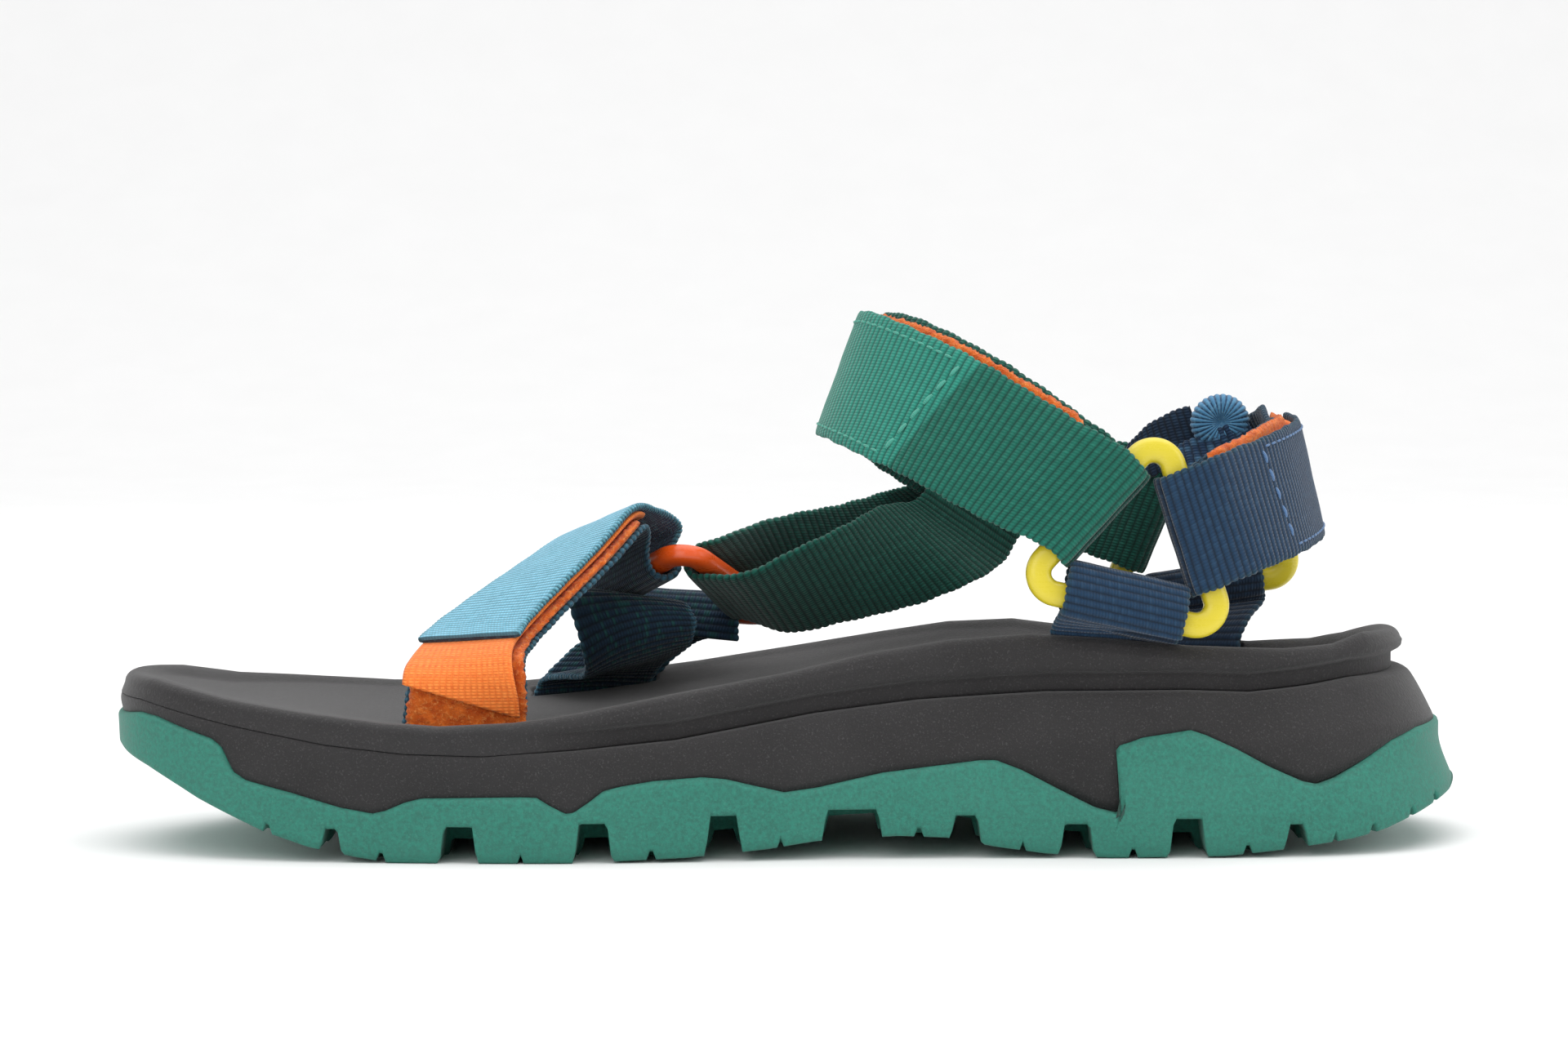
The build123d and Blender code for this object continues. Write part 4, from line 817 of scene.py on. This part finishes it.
# ankle strap
ankle_base = fine_frames(ankle_in_rows[3:], FINE)
ankle_bump = np.sin(np.pi * np.clip(np.linspace(0, 1, len(ankle_base[0])) / 0.46, 0, 1))
ankle_base = [ankle_base[0] + ankle_base[1] * (3.9 * ankle_bump)[:, None]] + ankle_base[1:]
webbing("ankle_webbing_base", ankle_base, "sandal", MAT_GREEN_SHADED, ("ankle_strap_base",), seed=10)
ankle_loop = lifted(sub(ankle_in_rows, 0.125, 0.6, ankle_in, 0.5), LAYER_LOOP, 0.3)
lb = np.sin(np.pi * np.clip(np.linspace(0.125, 0.6, len(ankle_loop[0])) / 0.46, 0, 1))
ankle_loop = [ankle_loop[0] + ankle_loop[1] * (2.7 * lb)[:, None]] + ankle_loop[1:]
pad("ankle_tape_loop", ankle_loop, "sandal", MAT_LOOP, ("ankle_loop_patch",),
    thick=LOOP_T, fuzz=0.4, seed=11, width=23.4, round_ends=(3.0, 0.0))
ankle_turn = list(reversed(ankle_wrap_m[:4]))
ankle_flap = fine_frames(ankle_turn + ankle_out_rows[1:], FINE)
fb = np.sin(np.pi * np.linspace(0, 1, len(ankle_flap[0]))) ** 0.8
ankle_flap = [ankle_flap[0] + ankle_flap[1] * (1.7 * fb)[:, None]] + ankle_flap[1:]
webbing("ankle_webbing_flap", ankle_flap, ("ankle_flap", ankle_wrap_m[0][:3], ankle_out[2][0]), MAT_GREEN, ("ankle_strap_flap",), seed=12,
        taper=lambda f: 1 + 0.13 * np.sin(np.pi * f) ** 0.8, fine=(0.47, 1.0))
pad("ankle_tape_hook", lifted(sub(ankle_out_rows, 0.5, 0.97, ankle_out, 0.5), LAYER_HOOK - LAYER_FLAP), "ankle_flap", MAT_HOOK, ("ankle_hook_patch",),
    thick=HOOK_T, seed=13, width=22.4)

# heel strap
heel_base = fine_frames(heel_in_rows[3:], FINE)
webbing("heel_webbing_base", heel_base, "sandal", MAT_NAVY, ("heel_strap_base",), seed=14)
pad("heel_tape_loop", lifted(sub(heel_in_rows, 0.16, 0.6, heel_in, 0.5), LAYER_LOOP, -0.5), "sandal", MAT_LOOP, ("heel_loop_patch",),
    thick=LOOP_T, fuzz=0.35, seed=15, width=23.4)
heel_turn = list(reversed(heel_wrap_m[:4]))
heel_flap = fine_frames(heel_turn + heel_out_rows[1:], FINE)
webbing("heel_webbing_flap", heel_flap, ("heel_flap", heel_wrap_m[0][:3], heel_out[2][0]), MAT_NAVY, ("heel_strap_flap",), seed=16)
pad("heel_tape_hook", lifted(sub(heel_out_rows, 0.5, 0.96, heel_out, 0.5), LAYER_HOOK - LAYER_FLAP), "heel_flap", MAT_HOOK, ("heel_hook_patch",),
    thick=HOOK_T, seed=17, width=22.4)

# ankle anchors
slack_m = []
m_, d_, b_ = ring_bar(RING_MEDIAL, -90)
for r in anchor_m_rows:
    r = [float(q) for q in r]
    away = np.array(r[:3]) - m_
    depth = -float(away.dot(d_))
    if depth > 0.5:
        r[:3] = [float(q) for q in np.array(r[:3]) - d_ * (2.6 * depth / WRAP_D) + RING_MEDIAL[1] * 0.35]
    slack_m.append(r)
webbing("anchor_webbing_medial", fine_frames(slack_m, FINE), "sandal", MAT_NAVY, ("ankle_anchor_medial",), seed=18)
webbing("anchor_webbing_lateral", fine_frames(anchor_l_rows, FINE), "sandal", MAT_NAVY, ("ankle_anchor_lateral",), seed=19)

# stitches
stitch_row("stitch_ankle_cross", ankle_flap, [(0.415, 10.9), (0.478, -11.4)], "ankle_flap", MAT_THREAD_TEAL, length=2.5, gap=1.3, r=0.46, lift=0.82)
stitch_row("stitch_ankle_top", ankle_flap, [(0.435, 11.5), (0.7, 11.1), (0.985, 10.0)], "ankle_flap", MAT_THREAD_TEAL, length=1.7, gap=0.7, r=0.26, lift=0.80)
stitch_row("stitch_ankle_bottom", ankle_flap, [(0.49, -11.8), (0.7, -11.4), (0.985, -10.2)], "ankle_flap", MAT_THREAD_TEAL, length=1.7, gap=0.7, r=0.26, lift=0.80)
stitch_row("stitch_heel_cross", heel_flap, [(0.345, -9.8), (0.385, 9.8)], "heel_flap", MAT_THREAD_BLUE, length=2.5, gap=1.3, r=0.42, lift=0.82)
stitch_row("stitch_heel_bottom", heel_flap, [(0.40, 10.2), (0.97, 10.0)], "heel_flap", MAT_THREAD_BLUE, length=1.7, gap=0.8, r=0.26, lift=0.8)
stitch_row("stitch_heel_top", heel_flap, [(0.36, -10.2), (0.97, -10.2)], "heel_flap", MAT_THREAD_BLUE, length=1.7, gap=0.8, r=0.26, lift=0.8)


# gathered fan at the lateral end of the heel strap
def gather():
    c0 = np.array((88.7, 26.9, 82.0))
    verts, faces, fab = [], [], []
    na, nr = 168, 9
    for side in (-1, 1):
        for i in range(nr):
            f = (i + 1) / nr
            for k in range(na):
                a = 2 * math.pi * k / na
                rib_ = abs(math.sin(a * 14))
                rad = 5.9 * f
                bulge = 2.2 * math.sqrt(max(0.0, 1 - (f ** 3.0))) + 0.25
                pinch = -1.1 * math.exp(-(f / 0.28) ** 2)
                hgt = bulge + pinch + 0.34 * (rib_ ** 0.7) * min(1, f * 1.6)
                rr = rad + 0.28 * rib_ * f
                verts.append(c0 + np.array((rr * math.cos(a), side * hgt, rr * math.sin(a) * (0.96 + 0.04 * math.cos(a)))))
                fab.append((a * 9, rad, side))
    na_ = na
    for sidx in range(2):
        o = sidx * na * nr
        for i in range(nr - 1):
            for k in range(na):
                k2 = (k + 1) % na
                q = [o + i * na + k, o + i * na + k2, o + (i + 1) * na + k2, o + (i + 1) * na + k]
                faces.append(q if sidx == 0 else q[::-1])
        verts.append(c0 + np.array((0, (-1, 1)[sidx] * 1.1, 0)))
        fab.append((0, 0, (-1, 1)[sidx]))
        ci = len(verts) - 1
        for k in range(na):
            q = [ci, o + (k + 1) % na, o + k]
            faces.append(q if sidx == 0 else q[::-1])
    a0, b0 = (nr - 1) * na, na * nr + (nr - 1) * na
    for k in range(na):
        k2 = (k + 1) % na
        faces.append([a0 + k, a0 + k2, b0 + k2, b0 + k])
    return make("heel_webbing_gather", verts, faces, MAT_GATHER, "sandal", ("heel_strap_gather",), fab)


def gather_mat():
    s = Shade("webbing_gather", roughness=0.75, specular=0.3, sheen=0.3)
    u, v, side = s.attr("fabric")
    a = s.noise(1700, 3.0, 0.6)
    ribs = s.m("ABSOLUTE", s.m("SINE", s.m("MULTIPLY", u, 14 / 9)))
    # Painted highlight on the rib crests and painted shade in their valleys; the pale blue specks below are painted
    # glints of sheen.
    c = s.mix(s.span(ribs, 0.15, 0.75), lin(26, 56, 88), lin(70, 128, 168))
    c = s.mix(s.m("MULTIPLY", s.span(a, 0.5, 0.66), 0.4), c, lin(120, 170, 196))
    return s.done(c, normal=s.bump(a, 0.6, 0.0003))


MAT_GATHER = gather_mat()
MAT_GATHER_B = rib_weave("webbing_roll", lin(34, 74, 112), lin(22, 50, 80), lin(40, 84, 120), lin(90, 140, 176), speck_amount=0.35)
gather()
# the webbing's turned-in end below the fan, and its run forward to the ring
webbing("heel_webbing_roll", fine_frames([(80.6, 29.6, 73.4, 0, .5, .86), (83.4, 27.6, 74.8, -.2, .45, .86), (87.4, 26.2, 76.2, -.3, .3, .9), (91.6, 26.4, 78.8, -.5, .2, .84),
                                          (94.0, 27.6, 81.0, -.6, .1, .8)], FINE), "sandal", MAT_GATHER_B, width=7.4, thick=4.6, amp=0.30, seed=31,
        taper=lambda f: 0.55 + 0.45 * np.sin(np.pi * np.clip(f, 0.04, 0.96)) ** 0.5)
webbing("heel_webbing_tuck", fine_frames([(69.6, 33.0, 71.8, .1, .2, .97), (74.0, 31.4, 75.4, -.2, .2, .95), (79.0, 29.8, 78.6, -.3, .2, .93), (84.4, 29.4, 80.6, -.35, .1, .93)], FINE),
        "sandal", MAT_NAVY, width=10.5, thick=1.4, seed=32)

# ------------------------------------------------------------------ sole: matched stations round the three outlines
def periodic(points):
    p = np.array(points, float)
    n = len(p)
    h = np.linalg.norm(np.roll(p, -1, 0) - p, axis=1)
    a, r = np.zeros((n, n)), np.zeros((n, 2))
    for i in range(n):
        h0, h1 = h[i - 1], h[i]
        a[i, (i - 1) % n] += h0
        a[i, i] += 2 * (h0 + h1)
        a[i, (i + 1) % n] += h1
        r[i] = 6 * ((p[(i + 1) % n] - p[i]) / h1 - (p[i] - p[i - 1]) / h0)
    m2 = np.linalg.solve(a, r)

    def ev(t):
        seg = np.floor(t).astype(int) % n
        b = (t - np.floor(t))[:, None]
        q = 1 - b
        j = (seg + 1) % n
        hh = h[seg][:, None]
        return q * p[seg] + b * p[j] + ((q ** 3 - q) * m2[seg] + (b ** 3 - b) * m2[j]) * hh * hh / 6
    return ev


SLITS = [-101.4, -79.3, -52.5, -27.6, -2.6, 24.1, 44.3, 65.8, 88.2, 105.4, 113.2, 121.6, 127.4]
ev_o, ev_m, ev_f = periodic(OUTSOLE_OUTLINE), periodic(MIDSOLE_OUTLINE), periodic(FOOTBED_OUTLINE)
T = np.linspace(0, 27, 27 * 400, endpoint=False)
dense = ev_o(T)
arc = np.concatenate([[0], np.cumsum(np.linalg.norm(np.diff(dense, axis=0), axis=1))])
marks = []
for x0, x1, _ in NOTCHES:
    marks += [x0 - 0.03, x0 + 0.03, x0 + 0.45, x0 + 0.9, x1 - 0.9, x1 - 0.45, x1 - 0.03, x1 + 0.03]
for x in SLITS:
    marks += [x - 0.52, x - 0.44, x + 0.44, x + 0.52]
marks += [61.8, 62.3, 62.86, 62.97, 63.08, 63.2, 63.6, 64.2]
found = []
for side in (-1, 1):
    sel = np.where(dense[:, 1] * side > 6)[0]
    if side > 0:
        sel = sel[::-1]
    xs, ss = dense[sel, 0], arc[sel]
    ok = np.concatenate([[True], np.diff(np.maximum.accumulate(xs)) > 0])
    for x in marks:
        if xs[0] < x < xs[-1]:
            found.append(float(np.interp(x, xs[ok], ss[ok])))
found = np.array(sorted(found))
even = np.linspace(0, arc[-1], int(arc[-1] / 0.62), endpoint=False)
even = even[np.min(np.abs(even[:, None] - found[None, :]), axis=1) > 0.22]
stations = np.sort(np.concatenate([even, found]))
stations = stations[np.concatenate([[True], np.diff(stations) > 0.03])]
TS = np.interp(stations, arc, T)
PO, PM, PF = ev_o(TS), ev_m(TS), ev_f(TS)
NS = len(TS)
tang = np.roll(PO, -1, 0) - np.roll(PO, 1, 0)
tang /= np.linalg.norm(tang, axis=1)[:, None]
OUTN = np.stack([tang[:, 1], -tang[:, 0]], axis=1)
SPINE_Y = [(-100, -4.0), (-60, 0.5), (0, 2.2), (60, 2.2), (100, 1.6)]


def col(table, x):
    return np.interp(x, [a for a, _ in table], [b for _, b in table])


sx = np.round(np.clip(PO[:, 0], -100.8, 100.8) / 1.2) * 1.2
SP = np.stack([sx, col(SPINE_Y, sx)], axis=1)
X = PO[:, 0]
ZT = col(WAVE, X)
ZD = col(DECK, X)
GROOVE = np.clip((X + 62) / 34, 0, 1)
GROOVE = GROOVE * GROOVE * (3 - 2 * GROOVE)


def smooth(a, b, v):
    f = np.clip((v - a) / (b - a), 0, 1)
    return f * f * (3 - 2 * f)


def foam_wall(z):
    """Outer face of the midsole at height z, for every station."""
    f = np.clip((z - (ZD - 10.0)) / 10.0, 0, 1)
    top = PF + OUTN * (0.7 + 0.5 * GROOVE)[:, None]
    return PM * (1 - f)[:, None] + top * f[:, None]


def rubber_wall(z):
    g = smooth(7.0, 21.0, z)
    return PO * (1 - g)[:, None] + (foam_wall(z) + OUTN * 1.0) * g[:, None]


def hook_shift(p, z):
    """The rubber's corner leans over the foam in front of it."""
    q = p.copy()
    q[:, 0] += (1.0 - 2.2 * np.clip((z - 9) / 12, 0, 1.1)) * np.exp(-((p[:, 0] - 63.0) / 2.6) ** 2) * (z > 8.0)
    return q


def inward(p, d):
    """Points d millimetres in from p towards the spine."""
    v = SP - p
    L = np.linalg.norm(v, axis=1)
    return p + v * (np.minimum(d, L) / L)[:, None]


def under(x, din):
    base = col(TREAD, x)
    z = base.copy()
    for x0, x1, top in NOTCHES:
        ramp = np.clip(np.minimum((x - x0) / 0.9, (x1 - x) / 0.9), 0, 1)
        deep = base + (top - base) * ramp
        ramp2 = np.clip(np.minimum((x - x0 - 0.8) / 0.5, (x1 - 0.8 - x) / 0.5), 0, 1)
        z = np.where(ramp > 0, np.where(din < 13, deep, base + 3.2 * ramp2), z)
    for xs in SLITS:
        hit = (np.abs(x - xs) < 0.48) & (din < 7)
        z = np.where(hit, np.maximum(z, base + 1.6), z)
    # a shallow channel runs along the middle of the tread
    z = np.where((din > 34) & (x > -96) & (x < 98), np.maximum(z, base + 1.6), z)
    return z


def wave_distance(x, z):
    w = np.array(WAVE, float)
    best = np.full(x.shape, 1e9)
    for (ax, az), (bx, bz) in zip(w, w[1:]):
        vx, vz = bx - ax, bz - az
        L = vx * vx + vz * vz
        t = np.clip(((x - ax) * vx + (z - az) * vz) / L, 0, 1)
        best = np.minimum(best, np.hypot(x - ax - t * vx, z - az - t * vz))
    return best


def close_columns(name, rows, mats, nodes, row_mat=None):
    """rows: list of (points (n, 2), z (n,)) from the lower spine round to the upper spine."""
    m = len(rows)
    verts = np.zeros((NS, m, 3))
    for j, (p, z) in enumerate(rows):
        verts[:, j, :2] = p
        verts[:, j, 2] = z
    faces = []
    i = np.arange(NS)[:, None]
    i2 = (i + 1) % NS
    j = np.arange(m - 1)[None, :]
    f = np.stack([i * m + j, i2 * m + j, i2 * m + j + 1, i * m + j + 1], axis=-1).reshape(-1, 4)
    ob = make(name, verts.reshape(-1, 3), f.tolist(), mats, "sandal", nodes)
    import bmesh
    bm = bmesh.new()
    bm.from_mesh(ob.data)
    bmesh.ops.remove_doubles(bm, verts=bm.verts, dist=2e-6)
    bmesh.ops.recalc_face_normals(bm, faces=bm.faces)
    for fa in bm.faces:
        fa.smooth = True
    bm.to_mesh(ob.data)
    bm.free()
    return ob


def spine_z(fun):
    return fun(sx)


# outsole
rows = []
D = np.linalg.norm(SP - PO, axis=1)
zb0 = under(X, np.zeros(NS))
inner = [13.4 + (1e3 if k == 6 else 0) for k in (0,)]
fr_in = [1.0, 0.84, 0.68, 0.52, 0.36, 0.18]
for f in fr_in:
    din = 13.4 + (D - 13.4) * f
    p = inward(PO, din)
    zz = under(p[:, 0], np.minimum(din, 1e3)) if f < 1.0 else col(TREAD, sx) + np.where((sx > -96) & (sx < 98), 1.6, 0)
    rows.append((p if f < 1 else SP, zz))
for din in (13.5, 12.7, 10.5, 8.2, 7.2, 6.6, 5.0, 3.4, 2.0, 0.9):
    p = inward(PO, np.full(NS, din))
    rows.append((p, under(p[:, 0] if din > 5 else X, np.full(NS, din))))
rows.append((inward(rubber_wall(zb0 + 0.25), np.full(NS, 0.35)), zb0 + 0.22))
R = 1.0
for k in range(15):
    f = k / 14
    z = (zb0 + 0.8) + (ZT - zb0 - 0.8) * (1 - (1 - f) ** 1.25)
    p = rubber_wall(z)
    d = wave_distance(X, z)
    add = np.where(d < R, R - np.sqrt(np.maximum(R * R - (R - np.minimum(d, R)) ** 2, 0)), 0.0)
    p = inward(p, add)
    rows.append((hook_shift(p, z), z))
for din in (1.7, 3.4):
    rows.append((hook_shift(inward(rubber_wall(ZT), np.full(NS, din)), ZT), ZT - 0.02))
for f in (0.75, 0.5, 0.25):
    p = inward(PO, D * (1 - f))
    rows.append((p, col(WAVE, p[:, 0]) - 0.03))
rows.append((SP, col(WAVE, sx) - 0.03))
close_columns("sole_rubber", rows, MAT_RUBBER, ("outsole",))

# midsole
rows = [(SP, col(WAVE, sx) + 0.02)]
for f in (0.25, 0.5, 0.75):
    p = inward(PM, D * (1 - f))
    rows.append((p, col(WAVE, p[:, 0]) + 0.02))
rows.append((hook_shift(inward(foam_wall(ZT), np.full(NS, 1.2)), ZT), ZT + 0.03))
ED = 1.3
for k in range(17):
    f = k / 16
    z = (ZT + 0.05) + (ZD - 0.1 - ZT - 0.05) * (1 - (1 - f) ** 1.5)
    p = foam_wall(z)
    dn = np.clip(ED - (ZD - 0.1 - z), 0, ED)
    add = (ED - np.sqrt(np.maximum(ED * ED - dn * dn, 0))) * GROOVE
    # a slight hollow under the top edge and a soft swell above the rubber
    p = p + OUTN * (0.35 * np.sin(np.pi * np.clip(f, 0, 1)))[..., None] if np.ndim(f) else p + OUTN * (0.35 * math.sin(math.pi * f))
    rows.append((hook_shift(inward(p, add), z), z))
for din in (2.0, 4.0):
    rows.append((inward(foam_wall(ZD), np.full(NS, din)), ZD - 0.1))
for f in (0.75, 0.5, 0.25):
    p = inward(PF, D * (1 - f))
    rows.append((p, col(DECK, p[:, 0]) - 0.1))
rows.append((SP, col(DECK, sx) - 0.1))
close_columns("sole_midfoam", rows, MAT_FOAM, ("midsole",))


# footbed
def top_z(p):
    x, y = p[:, 0], p[:, 1]
    half = col(HALF_WIDTH, x)
    f = (y - 1.5) / half
    a, b = col(RIM_MEDIAL, x), col(RIM_LATERAL, x)
    rim = a + (b - a) * np.clip(0.5 + f / 2, 0, 1)
    end = np.where(x > 104, np.maximum(0, 1 - ((x - 104) / 17) ** 2), 1.0)
    return rim, rim - col(DISH, x) * np.maximum(0, 1 - np.minimum(1, np.abs(f)) ** 2.6) * end


def in_slot(p, s):
    cx, cy, turn, length, width, _ = s
    a = math.radians(turn)
    dx, dy = p[:, 0] - cx, p[:, 1] - cy
    u, v = dx * math.cos(a) + dy * math.sin(a), -dx * math.sin(a) + dy * math.cos(a)
    return np.minimum(length / 2 - np.abs(u), width / 2 - np.abs(v))


def bed(p):
    rim, z = top_z(p)
    zd = col(DECK, p[:, 0])
    for s in (SLOT_TOE, SLOT_FOREFOOT, SLOT_ANKLE_MEDIAL, SLOT_ANKLE_LATERAL):
        d = in_slot(p, s)
        z = np.where(d > -0.9, z - 0.25 * np.clip((d + 0.9) / 0.9, 0, 1), z)
        z = np.where(d > 0.15, np.maximum(zd + 0.6, np.minimum(z, z - 6.0)), z)
    return z


rows = [(SP, col(DECK, sx) + 0.05)]
for f in (0.25, 0.5, 0.75):
    p = inward(PF, D * (1 - f))
    rows.append((p, col(DECK, p[:, 0]) + 0.05))
RR = 2.0 + 0.5 * GROOVE
rim_edge, _ = top_z(PF)
z0 = ZD + 0.05
step_z = np.minimum(ZD + 3.9, rim_edge - RR - 0.6)
for k in range(16):
    f = k / 15
    z = z0 + (rim_edge - RR - z0) * f
    rec = GROOVE * 1.9 * (1 - smooth(0.0, 1.0, (z - (step_z - 1.0)) / 1.5))
    lip = GROOVE * 0.35 * np.sin(np.pi * np.clip((z - step_z) / np.maximum(rim_edge - step_z, 1), 0, 1))
    out = 0.7 * (1 - GROOVE) * (1 - f) + 0.15
    p = PF + OUTN * (out - rec + lip)[:, None]
    rows.append((p, z))
for k in range(1, 8):
    a = math.pi / 2 * k / 7
    p = inward(PF + OUTN * 0.15, RR * (1 - math.cos(a)))
    rows.append((p, rim_edge - RR + RR * math.sin(a)))
edge_in = RR.copy()
for k in range(1, 25):
    din = edge_in + (22.5 - edge_in) * k / 24
    p = inward(PF, din)
    zb = bed(p)
    b = smooth(0, 5.0, din - edge_in)
    rim_here, z_plain = top_z(p)
    z = zb + (rim_edge - z_plain) * (1 - b) * 0.85
    rows.append((p, z))
for k in range(1, 9):
    f = k / 9
    DF = np.linalg.norm(SP - PF, axis=1)
    p = inward(PF, 22.5 + (DF - 22.5) * f)
    rows.append((p, bed(p)))
rows.append((SP, bed(SP)))
close_columns("sole_footbed", rows, MAT_FOAM, ("footbed",))
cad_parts["shank"].data.materials.clear()
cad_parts["shank"].data.materials.append(MAT_SHANK)

# ------------------------------------------------------------------ floor, light and camera
def stage_floor():
    me = bpy.data.meshes.new("studio_floor")
    pts, fcs = [], []
    prof = [(-2.6, 0.0)] + [(1.2 + 0.9 * math.sin(a), 0.9 - 0.9 * math.cos(a)) for a in np.linspace(0, math.pi / 2, 14)] + [(2.1, 3.4)]
    for x in (-3.2, 3.2):
        for y, z in prof:
            pts.append((x, y, z - 0.00002))
    m = len(prof)
    for i in range(m - 1):
        fcs.append([i, i + m, i + m + 1, i + 1])
    me.from_pydata(pts, [], fcs)
    s = Shade("studio_white", roughness=0.9, specular=0.1)
    n = s.noise(30, 2.0, 0.5)
    s.done(s.mix(n, (0.90, 0.90, 0.90, 1), (0.93, 0.93, 0.93, 1)))
    me.materials.append(s.mat)
    me.polygons.foreach_set("use_smooth", np.ones(len(me.polygons), bool))
    ob = bpy.data.objects.new("studio_floor", me)
    bpy.context.scene.collection.objects.link(ob)


stage_floor()


def area(name, loc, target, size, power, colour=(1, 1, 1), size_y=None):
    li = bpy.data.lights.new(name, "AREA")
    li.energy = power
    li.color = colour
    li.shape = "RECTANGLE"
    li.size = size
    li.size_y = size_y or size
    ob = bpy.data.objects.new(name, li)
    ob.location = loc
    ob.rotation_euler = (Vector(target) - Vector(loc)).to_track_quat("-Z", "Y").to_euler()
    bpy.context.scene.collection.objects.link(ob)


area("light_top", (0.0, 0.05, 1.5), (0, 0, 0), 2.2, 21, size_y=1.8)
area("light_front", (-0.7, -1.6, 0.9), (0, 0, 0.03), 1.4, 7.5)
area("light_right", (1.5, -0.7, 0.8), (0, 0, 0.04), 1.0, 5)
world = bpy.data.worlds.new("studio_world")
bpy.context.scene.world = world
world.use_nodes = True
world.node_tree.nodes["Background"].inputs[0].default_value = (1.0, 1.0, 1.0, 1)
world.node_tree.nodes["Background"].inputs[1].default_value = 0.66

cam = bpy.data.cameras.new("camera")
cam.sensor_width = 36
cam.lens = 102.43
cam.clip_start = 0.01
cam_ob = bpy.data.objects.new("camera", cam)
cam_ob.location = (-0.0019, -0.900, 0.117)
cam_ob.rotation_euler = (math.radians(90 - 3.45), 0, 0)
bpy.context.scene.collection.objects.link(cam_ob)
bpy.context.scene.camera = cam_ob
bpy.context.scene.view_settings.view_transform = "Standard"
bpy.context.scene.view_settings.look = "None"
bpy.context.scene.view_settings.exposure = 0.0
